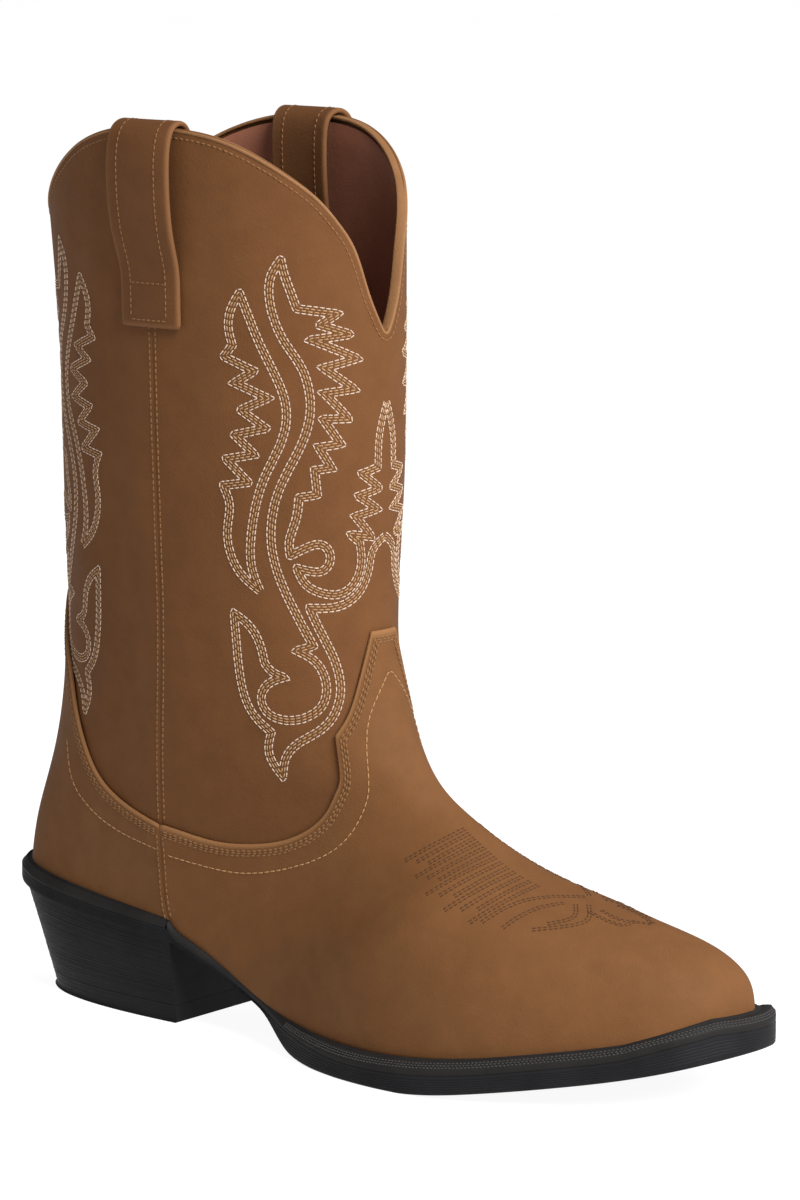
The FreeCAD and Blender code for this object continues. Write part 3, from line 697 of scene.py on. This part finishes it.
# The shaft's two flames and its scroll, as (turn, height in mm) on the lateral half of the front.
FEATHER = drawn(
    (-54.2, 166.0),
    [(-56.9, 174), (-57.2, 184), (-55.7, 195), (-51.8, 208), (-47.5, 217), (-44.6, 226),
     (-44.6, 234), (-47.6, 243), (-52.6, 254), (-56.6, 264.5), (-59.4, 272.5)],
    [(-62.6, 266), (-63.2, 259), (-62.0, 254.0)],
    *teeth([(-65.0, 249.8), (-61.6, 240.6), (-59.7, 231), (-62.0, 222), (-65.0, 213.2)],
           [(-55.0, 245.0), (-50.6, 235.6), (-51.4, 224.8), (-55.4, 215.3), (-57.6, 205.2)]),
    [(-66.2, 203.6)],
    [(-64.2, 197), (-65.0, 189), (-64.3, 179.5), (-60.5, 171.6), (-54.2, 166.0)])
SCROLL = drawn(
    (0.0, 233.0),
    [(-4.5, 222), (-5.5, 210.0)],
    *teeth([(-14.5, 208.2), (-15.8, 200.2), (-17.2, 193.0), (-19.4, 186.6)],
           [(-4.6, 202.5), (-5.8, 195.0), (-8.6, 185.2), (-14.9, 183.8)]),
    [(-13.8, 176.6), (-16.5, 169.6), (-23.2, 165.4), (-31.6, 165.8), (-37.8, 169.0),
     (-41.0, 174.8)],
    [(-35.5, 173.6), (-30.6, 174.0), (-28.0, 178.6), (-31.0, 183.0), (-37.0, 182.4),
     (-43.4, 179.2)],
    [(-43.8, 184), (-41.6, 191.4), (-40.2, 200.2)],
    *teeth([(-33.4, 201.2), (-27.8, 210.8), (-24.0, 219.2), (-20.6, 228.2), (-18.2, 238.6),
            (-16.8, 249.4), (-19.6, 258.0), (-25.0, 265.4)],
           [(-34.4, 210.0), (-32.8, 218.2), (-31.0, 228.2), (-30.4, 237.4), (-30.6, 246.4),
            (-35.2, 256.4), (-32.0, 261.6), (-40.2, 267.4)]),
    [(-42.2, 273), (-44.4, 279.5), (-45.5, 284.5)],
    [(-49.0, 278.5), (-49.6, 272), (-48.0, 263.4), (-44.2, 255), (-38.8, 246.6), (-36.2, 238.6),
     (-35.9, 230), (-38.8, 220), (-44.2, 209.4), (-48.2, 200), (-50.1, 190), (-49.9, 181),
     (-47.2, 170.6), (-42.0, 159), (-35.6, 146.6)],
    [(-42.0, 144.9)],
    [(-34.6, 140.0), (-32.3, 134), (-34.4, 126.4), (-41.6, 121.0), (-49.0, 119.4),
     (-54.6, 121.6), (-56.2, 127.2), (-53.4, 132.2), (-47.6, 135.0)],
    [(-52.0, 137.2), (-53.9, 140.0)],
    [(-55.0, 146.6), (-58.6, 153.4), (-63.6, 157.4)],
    [(-63.0, 146), (-62.2, 131), (-59.4, 120.6), (-54.6, 114.6)],
    [(-56.6, 107), (-54.2, 98.6)],
    [(-51.0, 107), (-45.6, 112.0), (-38.4, 116.2), (-31.0, 122.6), (-26.6, 131.6), (-27.4, 141),
     (-32.2, 151.4), (-36.4, 160.4)],
    [(-23.6, 161.0), (-15.0, 165.2), (-9.4, 173.6), (-7.6, 180), (0.0, 184.8)])
ROWS_MM = (-1.43, -0.48, 0.48, 1.43)


BACK_TOP_MM, BACK_HEIGHT = 285.5, 0.93     # the back's drawings are shorter, from this height down
EMBROIDERY_LIFT_MM = 0.05


def design_rows(drawing, side, back):
    """The rows of a drawn path, laid on one quarter of the shaft."""
    turn, height = drawing[:, 0], drawing[:, 1]
    if back:
        height = BACK_TOP_MM - (BACK_TOP_MM - height) * BACK_HEIGHT
        turn = -180 - turn
    turn = np.clip(turn, -180, 0) * side
    return rows_on_skin(station_at(height, turn), turn, EMBROIDERY_LIFT_MM, ROWS_MM, shaft_crease)


def make_embroidery():
    for back in (False, True):
        for side, side_name in ((1, "lateral"), (-1, "medial")):
            cream, gold = [], []
            for drawing in (FEATHER, SCROLL):
                rows = design_rows(drawing, side, back)
                cream += [rows[0], rows[3]]
                gold += [rows[1], rows[2]]
            where = ("back_" if back else "front_") + side_name
            sew("embroidery_cream_" + where, cream, CREAM_THREAD, radius_mm=0.24, seed=11)
            sew("embroidery_gold_" + where, gold, GOLD_THREAD, seed=12)


# Rows on the vamp and the counter, away from their edges, as (station, turn) points.
VAMP_LOW_ROW = [(6.71, -88.3), (7.16, -79.4), (7.73, -70.8), (8.20, -62.7), (8.45, -53.7),
                (8.24, -45.1), (7.60, -36.7), (6.69, -29.0), (5.85, -24.2), (5.28, -20.6),
                (4.73, -14.3), (4.12, -1.5)]
COUNTER_LOW_ROW = [(5.63, 46), (6.03, 52), (6.34, 61.6), (6.51, 71.3), (6.58, 80.1), (6.60, 89)]
BRAID_MM = (-1.7, -2.6, -3.5)  # the three rows of the braid, below the upper edge

# The toe's stitching as (station, turn) points on the lateral half: leaves below a fan of rows.
TOE_LEAVES = [[(12.5, -34), (12.5, -17), (12.75, -8), (13.05, -1)],
              [(12.9, -33), (12.85, -18), (13.0, -10)],
              [(13.3, -29), (13.6, -23), (13.75, -15), (13.3, -5)],
              [(13.35, -24), (13.5, -16), (13.15, -8)],
              [(13.5, -9), (14.05, -10.5), (14.35, -6), (14.65, -1)],
              [(13.6, -5), (14.0, -6.5), (14.35, -3)]]
TOE_FAN = 13


def toe_fan_row(i):
    """A straight row of the fan. Its lower end steps in and out to give the fan a cut edge."""
    step_in = 3.0 * (i % 3)
    return [(9.95 + 0.2 * i, -36 + step_in), (9.75 + 0.205 * i, -7)]


def make_toe_rows():
    rows = []
    drawings = TOE_LEAVES + [toe_fan_row(i) for i in range(TOE_FAN)]
    for side in (-1, 1):
        for drawing in drawings:
            line = smooth(drawing)
            rows += rows_on_skin(line[:, 0], -side * line[:, 1], LEATHER_MM, (-0.6, 0.6))
    sew("toe_stitching", rows, BROWN_THREAD, pitch_mm=1.9, seed=25)


def make_topline_rows():
    rows = []
    for turns in (front_turns(400), back_turns(400)):
        rows += rows_on_skin(top_edge(turns), turns, 0.0, (-2.6,), shaft_crease)
    sew("topline_stitching", rows, OCHRE_THREAD, radius_mm=0.32, seed=21)


def make_vamp_rows():
    """A braid of three rows along the vamp's and the counter's upper edges, and a row below it."""
    rows = []
    for turns, edge in ((np.linspace(-89, 89, 900), vamp_edge),
                        (wrap(np.linspace(91, 269, 500)), counter_edge)):
        rows += rows_on_skin(edge(turns), turns, LEATHER_MM, BRAID_MM)
    sew("vamp_stitching", rows, OCHRE_THREAD, radius_mm=0.40, seed=22)

    depth = LEATHER_MM + LOW_ROW_LIFT_MM
    low = smooth(VAMP_LOW_ROW)
    low = np.concatenate([low, low[::-1] * [1, -1]])
    rows = [path_on_skin(low[:, 0], low[:, 1], depth)]
    half = smooth(COUNTER_LOW_ROW)
    rows += [path_on_skin(half[:, 0], side * (180 - half[:, 1]), depth) for side in (-1, 1)]
    sew("vamp_low_stitching", rows, TAN_THREAD, pitch_mm=2.6, seed=23)


def make_seam_rows():
    """The double row down each side seam, over the shaft and then over vamp and counter."""
    rows = []
    count = 400
    for side in (-1, 1):
        turn = side * 89.99
        top = float(top_edge(np.array([turn]))[0])
        for first, last, depth, crease in ((top + 0.05, 6.15, 0.0, shaft_crease),
                                           (6.35, SEAT - 0.05, LEATHER_MM, None)):
            stations = np.linspace(first, last, count)
            rows += rows_on_skin(stations, np.full(count, turn), depth, (-1.4, 1.4), crease)
    sew("side_seam_stitching", rows, OCHRE_THREAD, radius_mm=0.36, seed=24)


# ---- top edge and pull straps ----
def sweep(points, across, out, section):
    """A grid of points: the section, as (across, out) pairs, at each point of a path."""
    section = np.array(section)
    return (points[:, None] + across[:, None] * section[None, :, :1]
            + out[:, None] * section[None, :, 1:])


def make_binding():
    """The rolled bead over the top edge of the leather and its lining."""
    outer, inner, rise, drop, tuck = 0.3, LINING_IN_MM - 0.4, 0.6, 0.7, 0.25
    middle, half = (outer + inner) / 2, (outer - inner) / 2
    section = [(-drop, outer - tuck), (-drop * 0.6, outer)]
    steps = 12
    for i in range(1, steps):
        angle = math.pi * i / steps
        section.append((rise * math.sin(angle) ** 0.6, middle + half * math.cos(angle)))
    section += [(-drop * 0.6, inner), (-drop, inner + tuck)]
    for name, turns, node in (("topline_front", front_turns(500), "binding_front"),
                              ("topline_back", back_turns(500), "binding_back")):
        points, normals = skin(top_edge(turns), turns, 0.0)
        along = unit(np.gradient(points, axis=0))
        up = unit(np.cross(along, normals))
        if up[0, 2] < 0:
            up = -up
        grid = sweep(points, up * MM, normals * MM, section)
        piece(name, *bar(grid), EDGE_LEATHER, "trim_leather", [node])


STRAP_PATH = [(1.2, 259.4), (1.2, 269), (1.6, 279.5), (4.4, 290), (6.3, 301.5), (6.7, 313),
              (6.0, 321.6), (3.6, 328.4), (-1.6, 331.1), (-6.8, 328.4), (-8.6, 321.6),
              (-8.8, 313), (-8.3, 301.5), (-6.6, 290), (-4.75, 279.5), (-4.5, 267)]
STRAP_HALF_MM = 13.0
STRAP_THICK_MM = 2.0
STRAP_ROW_INSET_MM = 4.6
STRAP_CROSS_ROWS = (2, 17)     # rows of the strap's grid, from its outer end, with a seam across
FRONT_REACH_MM, BACK_REACH_MM = 71.5, 84.0     # from the side seam to the front and the back


def strap_face(side, across_mm, steps, offset):
    """The grid of one face of a strap, rows along it. offset is in mm from its middle."""
    last = len(STRAP_PATH) - 1
    path = plane_curve(np.array(STRAP_PATH), np.arange(last + 1))
    t = np.linspace(0, last, steps)
    step = 0.02
    run, climb = (path(t + step) - path(t - step)).T
    norm = np.hypot(run, climb)
    depth, height = path(t).T
    depth = depth + offset * climb / norm
    height = height - offset * run / norm
    reach = np.where(across_mm >= 0, FRONT_REACH_MM, BACK_REACH_MM)
    turn = np.degrees(np.arccos(across_mm / reach)) * side
    heights = np.broadcast_to(height[:, None], (steps, len(across_mm)))
    turns = np.broadcast_to(turn[None, :], heights.shape)
    level = np.minimum(heights, float(top_height(90)))
    points, _ = skin(station_at(level, turns), turns, np.broadcast_to(depth[:, None], turns.shape))
    points[..., 2] = (heights + SHIFT[2]) * MM
    return points


def strap_seams(side, steps):
    """The rows along both edges of a strap, and the two seams across it."""
    rows = []
    ends = 6
    inset = STRAP_HALF_MM - STRAP_ROW_INSET_MM
    for start in (-inset, inset):
        face = strap_face(side, np.array([start, start + 0.5]), 300, STRAP_THICK_MM / 2)[ends:-ends]
        points = face[:, 0]
        normals = unit(np.cross(np.gradient(points, axis=0), face[:, 1] - points))
        from_middle = points - np.mean(points, axis=0)
        rows.append((points, normals * np.sign(np.mean(np.sum(normals * from_middle, 1)))))
    face = strap_face(side, np.linspace(-inset, inset, 60), steps, STRAP_THICK_MM / 2)
    for row in STRAP_CROSS_ROWS:
        normals = unit(np.cross(np.gradient(face[row], axis=0), face[row + 1] - face[row]))
        rows.append((face[row], normals * np.sign(normals[0, 1] * side)))
    return rows


def make_strap(side, name, node):
    across = np.linspace(-STRAP_HALF_MM, STRAP_HALF_MM, 31)
    steps = 170
    outer, inner = (strap_face(side, across, steps, offset)
                    for offset in (STRAP_THICK_MM / 2, -STRAP_THICK_MM / 2))
    cut_sheet(name, outer, inner, STRAP_LEATHER, "trim_leather", [node], ("left", "right", "top"),
              STRAP_FADE_MM, 5)
    sew(name + "_stitching", strap_seams(side, steps), OCHRE_THREAD, radius_mm=0.30, seed=31)


# ---- sole and heel ----
OUTSOLE = [(-90, -31.5), (-62, -30.4), (-44, -29.4), (-26, -32.2), (-12, -38.2), (4, -44), (20, -48.4),
           (38, -50.5), (60, -49.5), (85, -43), (110, -33), (128, -24), (142, -13), (152, 1.5),
           (157, 19), (153, 32), (142.5, 39.5), (125, 43.5), (95, 46), (60, 45), (30, 39.5),
           (0, 33.5), (-30, 29.6), (-60, 29.6), (-90, 31), (-120, 31), (-145, 26.5), (-160, 16),
           (-165.5, 0), (-160, -16.5), (-145, -27), (-120, -31.3)]
GROUND_SIDE = [(-74, 31.0), (-60, 25.4), (-45, 19.2), (-35, 15.2), (-27, 11.8), (-21, 8.0), (-15, 4.0),
               (-9, 1.2), (-2, -0.3), (8, -1.0), (30, -1.0), (50, -1.0), (62, 0.0), (80, 2.6),
               (110, 7.8), (143, 14.9), (166, 21.4)]
RIM = [(-172, 3.0), (-74, 3.0), (-60, 2.4), (-40, 2.0), (-22, 2.3), (0, 3.4), (30, 4.3), (100, 4.5),
       (166, 4.5)]
HEEL_SEAT_LATERAL = [(-74, -31.6), (-90, -31.5), (-120, -31.3), (-145, -27), (-160, -16.5)]
HEEL_SEAT_MEDIAL = [(-74, 30.4), (-90, 31), (-120, 31), (-145, 26.5), (-160, 16)]
HEEL_FOOT = [(-74, 25.4), (-90, 25.2), (-110, 23.8), (-130, 19.8), (-146, 11.8)]
HEEL_SEAT_BACK = (-165.5, 0)
HEEL_FOOT_BACK = (-154.0, 0)
HEEL_LOFT_MM = 46.0
SEAT_THICK_MM = 4.5
TOP_LIFT_MM = 6.5
BREAST_X_MM = -74.0
BREAST_LATERAL, BREAST_MEDIAL = (BREAST_X_MM, -32.0), (BREAST_X_MM, 30.5)
WELT_ROWS = [(0.22, 1.02), (0.55, 0.62), (0.88, 0.22)]   # in from and down the bevel, in bevels
WELT_ROWS_FROM_MM = -24.0      # the welt's stitching starts in front of the waist
CRISP_DEGREES = 50             # edges of the sole pieces that turn by more than this stay crisp
CLEAR_MM = 0.1
SPINE = [(-170, 0), (-74, 0), (-20, -3), (30, -4), (80, 4), (120, 12), (165, 17)]     # plan, x and y

ground_side = Curve(GROUND_SIDE)
rim_depth = Curve(RIM)
spine_y = Curve(SPINE)


def feather_z(x):
    """Height of the feather line, where upper and welt meet. It is level in front of the toe."""
    s = np.linspace(SEAT, TOE, 400)
    line_x = np.concatenate([[float(back_x(SEAT))], side_x(s), [float(ridge_x(TOE))]])
    line_z = np.concatenate([[float(back_z(SEAT))], side_z(s), [float(ridge_z(TOE))]])
    left = (line_z[1] - line_z[0]) / (line_x[1] - line_x[0])
    right = (line_z[-1] - line_z[-2]) / (line_x[-1] - line_x[-2])
    inside = np.interp(x, line_x, line_z)
    past_tip = np.clip(x - line_x[-1], 0, LEATHER_MM)
    return inside + np.minimum(x - line_x[0], 0) * left + past_tip * right


def rim_bottom(x):
    return feather_z(x) - rim_depth(x)


def sole_bottom(x):
    in_front = np.maximum(GROUND_MM, ground_side(np.maximum(x, BREAST_X_MM)))
    return np.where(x <= BREAST_X_MM, rim_bottom(x) - SEAT_THICK_MM, in_front)


def closed_curve(points, count):
    """Even points of a smooth closed curve through points of the plane."""
    n, reach, fineness = len(points), 6, 12
    wrapped = np.array(points, float)[np.arange(-reach, n + reach + 1) % n]
    run = lengths(wrapped)
    line = plane_curve(wrapped, run)(np.linspace(run[reach], run[reach + n], fineness * count))
    return resample(line, lengths(line)[-1] / count)[:count]


def inward(line):
    """Unit vectors across a closed anticlockwise line, to its left."""
    along = unit(np.roll(line, -1, 0) - np.roll(line, 1, 0))
    return np.stack([-along[:, 1], along[:, 0]], 1)


OUTLINE_COUNT = 760
outline = closed_curve(OUTSOLE, OUTLINE_COUNT)
outline_in = inward(outline)


def foot_line():
    """Plan of the upper's outside where it meets the welt, in mm."""
    stations = np.linspace(SEAT, TOE, 300)
    parts = [(stations, np.full(300, side * 90.0)) for side in (-1, 1)]
    parts += [(np.full(120, float(TOE)), np.linspace(-90, 90, 120)),
              (np.full(160, float(SEAT)), wrap(np.linspace(90, 270, 160)))]
    points = np.concatenate([skin(s, turn, LEATHER_MM)[0] for s, turn in parts])
    return points[:, :2] / MM - SHIFT[:2]


def welt_width():
    """How far the upper stands inside each point of the outline, smoothed."""
    gap = np.linalg.norm(outline[:, None] - foot_line()[None], axis=2).min(1)
    reach = 15
    kernel = np.hanning(2 * reach + 1)
    padded = np.concatenate([gap[-reach:], gap, gap[:reach]])
    return np.convolve(padded, kernel / kernel.sum(), "valid")


def place(line, heights):
    """Points of the plane in mm, with their heights, as points of the part in metres."""
    return (np.concatenate([line, heights[:, None]], 1) + SHIFT) * MM


def ring_sections(section, span):
    """Swept rings along part of the outline. section gives (inwards, height) at each point."""
    columns = []
    for inset, height in section:
        line = outline[span] + outline_in[span] * inset[span][:, None]
        columns.append(place(line, height[span]))
    return np.stack(columns, 1)


def nearest(x, y):
    """The index of the outline's point nearest to a place."""
    return int(np.argmin(np.linalg.norm(outline - [x, y], axis=1)))


def make_rims():
    """The stitched welt round the forepart and waist, and the rand round the heel seat."""
    x = outline[:, 0]
    gap = welt_width()
    top = feather_z(x) - CLEAR_MM
    low = rim_bottom(x)
    zero = np.zeros(len(x))
    bead = np.minimum(gap, 2.2)
    bevel = np.minimum(1.7, 0.42 * gap)
    lip = 3.2                # how far the rim runs in under the upper
    section = [(zero + 0.12, low), (zero + 0.02, low + 0.15), (zero, (low + top) / 2 - 0.5),
               (zero + 0.04, top - 1.3 * bevel - 0.1), (0.12 * bevel, top - 1.18 * bevel),
               (0.55 * bevel, top - 0.66 * bevel), (0.96 * bevel, top - 0.12 * bevel),
               (1.25 * bevel, top), (gap * 0.60, top), (gap * 0.66, top - 0.3),
               (gap * 0.72, top - 0.3), (gap - 0.46 * bead, top - 0.05),
               (gap - 0.32 * bead, top + 0.25), (gap, top + 0.4), (gap + 0.6, top + 0.35),
               (gap + lip / 2, top), (gap + lip, top - 0.4), (gap + lip, low)]
    start = nearest(*BREAST_LATERAL)
    order = np.arange(start, start + OUTLINE_COUNT) % OUTLINE_COUNT
    stop = (nearest(*BREAST_MEDIAL) - start) % OUTLINE_COUNT
    for name, span, node in (("welt_strip", order[:stop + 1], "welt"),
                             ("heel_seat_rand", order[stop + 1:], "heel_rand")):
        grid = ring_sections(section, span)
        piece(name, *bar(grid), WELT_RUBBER, "sole", [node], sharp=CRISP_DEGREES)
    span = order[:stop]
    span = span[(bevel[span] > 1.0) & (x[span] > WELT_ROWS_FROM_MM)]
    outward = unit(np.concatenate([-outline_in[span], np.full((len(span), 1), 0.85)], 1))
    rows = []
    for inset, drop in WELT_ROWS:
        line = outline[span] + outline_in[span] * (inset * bevel[span])[:, None]
        rows.append((place(line, (top - drop * bevel)[span]), outward))
    sew("welt_stitching", rows, DARK_THREAD, radius_mm=0.32, pitch_mm=1.45, seed=41)


def zip_ring(start, count):
    """Faces that close a thin ring, by joining its two long sides."""
    faces = [(start, start + 1, start + count - 1)]
    for i in range(1, count // 2 - 1):
        faces.append((start + i, start + i + 1, start + count - i - 1, start + count - i))
    faces.append((start + count // 2 - 1, start + count // 2, start + count // 2 + 1))
    return faces


def plate(line, spine_x, rings):
    """A closed plate. rings are (share, heights, inset) from the top's middle to the bottom's.
    The share draws a ring in towards the spine, a line along the plate. The inset may be a
    function of x."""
    across = inward(line)
    anchor_x = np.clip(line[:, 0], *spine_x)
    anchor = np.stack([anchor_x, spine_y(anchor_x)], 1)
    grid = []
    for share, height, inset in rings:
        moved = inset(line[:, :1]) if callable(inset) else inset
        flat = anchor + (line + across * moved - anchor) * share
        grid.append(place(flat, height(flat[:, 0])))
    grid = np.array(grid)
    count = len(line)
    faces = grid_quads(len(rings), count, 0, True)
    faces += [f[::-1] for f in zip_ring(0, count)]
    faces += zip_ring((len(rings) - 1) * count, count)
    return grid.reshape(-1, 3), faces


def back_first(line):
    """The same closed line, starting from its rearmost point."""
    return np.roll(line, -int(np.argmin(line[:, 0])), 0)


def make_outsole():
    line = back_first(outline)

    def top(x):
        return rim_bottom(x) - CLEAR_MM

    def level(share):
        return lambda x: top(x) + (sole_bottom(x) - top(x)) * share

    def rounding(size):
        """The rounded lower edge of the forepart. Over the heel the edge stays square."""
        square, over = 0.12, 12
        return lambda x: square + (size - square) * np.clip((x - BREAST_X_MM) / over, 0, 1)

    rings = [(share, top, 0.0) for share in (0.03, 0.35, 0.7)]
    rings += [(1.0, top, 0.12), (1.0, level(0.05), 0.03)]
    first, last, ridges = 0.08, 0.82, 6      # the fine ridges run over this share of the edge
    width = (last - first) / ridges
    for i in range(ridges):
        centre = first + width * (i + 0.5)
        rings += [(1.0, level(centre + step * width), push)
                  for step, push in ((-0.36, 0.0), (0.0, -0.04), (0.36, 0.0), (0.5, 0.12))]
    rings += [(1.0, level(0.88), 0.0), (1.0, level(0.95), rounding(0.3)),
              (1.0, level(0.985), rounding(0.65)), (1.0, level(1.0), rounding(1.1))]
    rings += [(share, sole_bottom, 0.0) for share in (0.9, 0.7, 0.35, 0.03)]
    piece("outsole_tread", *plate(line, (-140, 135), rings), SOLE_RUBBER, "sole", ["outsole"],
          sharp=CRISP_DEGREES)


def make_sock():
    line = back_first(outline)
    gap = back_first(np.concatenate([outline, welt_width()[:, None]], 1))[:, 2]
    inside_upper, high, low = 4.6, 5.6, 2.6
    line = line + inward(line) * (gap + inside_upper)[:, None]

    def over(rise):
        return lambda x: feather_z(x) + rise

    rings = [(share, over(rise), 0.0)
             for share, rise in ((0.03, low), (0.95, low), (1.0, low + 0.6), (0.99, high - 0.5),
                                 (0.96, high), (0.6, high - 0.3), (0.3, high - 0.5),
                                 (0.03, high - 0.5))]
    piece("sock_lining", *plate(line, (-135, 125), rings), INSOLE_LEATHER, "sock_liner",
          ["sock_liner"])


def heel_outline(lateral, medial, back, count):
    """Points of one heel plan: from the lateral corner round the back to the medial corner."""
    knots = [(x, -abs(y)) for x, y in lateral] + [back] + medial[::-1]
    curve = resample(smooth(knots), 0.2)
    return resample(curve, lengths(curve)[-1] / (count - 1))[:count]


def heel_grid(low, high, rings):
    """Rows of points round the heel, the last stretch of each along its straight breast. low and
    high give heights along x. rings are (share of the height, push outwards)."""
    count, breast_count, passes = 300, 28, 5
    foot = heel_outline(HEEL_FOOT, HEEL_FOOT, HEEL_FOOT_BACK, count)
    seat = heel_outline(HEEL_SEAT_LATERAL, HEEL_SEAT_MEDIAL, HEEL_SEAT_BACK, count)
    t = np.linspace(0, 1, breast_count + 2)[1:-1, None]
    rows = []
    for share, push in rings:
        height = np.full(count, HEEL_LOFT_MM / 2)
        for _ in range(passes):
            f = ((height - GROUND_MM) / (HEEL_LOFT_MM - GROUND_MM))[:, None]
            line = foot * (1 - f) + seat * f
            height = low(line[:, 0]) * (1 - share) + high(line[:, 0]) * share
        along = unit(np.gradient(line, axis=0))
        line = line + np.stack([along[:, 1], -along[:, 0]], 1) * push
        line[:, 0] = np.minimum(line[:, 0], BREAST_X_MM)
        breast = line[-1] * (1 - t) + line[0] * t
        level = height[-1] * (1 - t[:, 0]) + height[0] * t[:, 0]
        rows.append(place(np.concatenate([line, breast]), np.concatenate([height, level])))
    return np.array(rows)


def make_heel():
    """The heel block with its fine uneven ribs, and the top lift below it."""
    def seat(x):
        return rim_bottom(x) - SEAT_THICK_MM - CLEAR_MM

    def level(height):
        return lambda x: np.full(np.shape(x), height)

    lift_top = GROUND_MM + TOP_LIFT_MM
    rng = np.random.default_rng(51)
    ribs = 27
    rows = [(0.0, -0.12), (0.006, 0.0)]
    for i in range(ribs):
        centre = (i + 0.5 + rng.uniform(-0.2, 0.2)) / ribs
        depth = rng.uniform(0.03, 0.15)
        rows += [(centre + step / ribs, push)
                 for step, push in ((-0.30, 0.0), (-0.10, -depth), (0.08, -depth), (0.26, 0.0))]
    rows += [(0.994, 0.0), (1.0, -0.12)]
    block = heel_grid(level(lift_top + CLEAR_MM), seat, rows)
    rows = [(0.0, -1.0), (0.05, -0.5), (0.12, -0.18), (0.22, -0.04), (0.34, 0.0), (0.42, -0.1),
            (0.46, -0.1), (0.52, 0.0), (0.66, 0.0), (0.72, -0.08), (0.76, -0.08), (0.82, 0.0),
            (0.97, 0.0), (1.0, -0.12)]
    lift = heel_grid(level(GROUND_MM), level(lift_top), rows)
    for name, grid, node in (("stacked_heel", block, "heel_block"),
                             ("heel_top_lift", lift, "top_lift")):
        piece(name, *bar(grid), HEEL_RUBBER, "heel", [node], sharp=CRISP_DEGREES)


# ---- inner pieces that keep their CAD shape ----
def make_inner():
    """Sealed pieces between the layers keep the CAD shape and get their own materials."""
    for node, material in (("toe_puff", STIFFENER_BOARD), ("heel_stiffener", STIFFENER_BOARD),
                           ("seam_tape_lateral", TAPE_WEAVE), ("seam_tape_medial", TAPE_WEAVE),
                           ("bottom_filler", CORK), ("shank", STEEL),
                           ("insole_board", STIFFENER_BOARD)):
        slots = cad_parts[node].material_slots
        if not slots:
            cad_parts[node].data.materials.append(material)
        for slot in slots:
            slot.material = material


make_shaft()
make_foot()
make_lining()
make_binding()
make_strap(-1, "pull_loop_lateral", "pull_strap_lateral")
make_strap(1, "pull_loop_medial", "pull_strap_medial")
make_topline_rows()
make_vamp_rows()
make_seam_rows()
make_embroidery()
make_toe_rows()
make_rims()
make_outsole()
make_heel()
make_sock()
make_inner()


# ---- stage, light and camera ----
def make_stage():
    s = Shader("studio_floor")
    tint = s.ramp(s.noise(3, 2), [(0.3, (0.20, 0.20, 0.20)), (0.7, (0.22, 0.22, 0.22))])
    floor_material = s.finish(Base_Color=tint, Roughness=0.9, Specular_IOR_Level=0.0,
                              Emission_Color=(1.0, 1.0, 1.0, 1.0), Emission_Strength=0.93)
    reach = 40.0
    mesh = bpy.data.meshes.new("floor")
    corners = [(x * reach, y * reach, 0) for x, y in ((-1, -1), (1, -1), (1, 1), (-1, 1))]
    mesh.from_pydata(corners, [], [(0, 1, 2, 3)])
    mesh.materials.append(floor_material)
    floor = bpy.data.objects.new("floor", mesh)
    bpy.context.scene.collection.objects.link(floor)

    world = bpy.data.worlds.new("studio")
    bpy.context.scene.world = world
    world.use_nodes = True
    background = world.node_tree.nodes["Background"]
    background.inputs["Color"].default_value = (1.0, 1.0, 1.0, 1.0)
    background.inputs["Strength"].default_value = 0.30


def facing(aim):
    """The rotation that turns a lamp or a camera along a vector."""
    return Vector(aim).to_track_quat("-Z", "Y").to_euler()


def soft_light(name, position, target, size, power):
    data = bpy.data.lights.new(name, "AREA")
    data.shape = "DISK"
    data.size = size
    data.energy = power
    lamp = bpy.data.objects.new(name, data)
    lamp.location = position
    lamp.rotation_euler = facing(np.array(target) - np.array(position))
    bpy.context.scene.collection.objects.link(lamp)


VIEW_AZIMUTH, VIEW_ELEVATION = 39.4, 9.03      # degrees: from the lateral side, towards the toe
VIEW_DISTANCE = 1.7406
VIEW_HEIGHT = 0.180


def make_camera():
    a, e = math.radians(VIEW_AZIMUTH), math.radians(VIEW_ELEVATION)
    back = np.array([math.sin(a) * math.cos(e), -math.cos(a) * math.cos(e), math.sin(e)])
    target = SHIFT * MM + np.array([0, 0, VIEW_HEIGHT])
    data = bpy.data.cameras.new("camera")
    data.sensor_width = 36
    data.lens = 146.5
    data.shift_x = 0.0196
    data.shift_y = -0.0432
    data.clip_start = 0.05
    data.clip_end = 100
    camera = bpy.data.objects.new("camera", data)
    camera.location = target + back * VIEW_DISTANCE
    camera.rotation_euler = facing(-back)
    bpy.context.scene.collection.objects.link(camera)
    bpy.context.scene.camera = camera


make_stage()
soft_light("key", (1.9, -0.4, 1.7), (0.0, 0.0, 0.12), 1.6, 125)
soft_light("fill", (-1.2, -2.2, 0.9), (0.0, 0.0, 0.15), 1.8, 3)
soft_light("rim", (1.0, 1.8, 1.4), (0.0, 0.0, 0.2), 1.2, 14)
make_camera()
bpy.context.scene.view_settings.view_transform = "Standard"
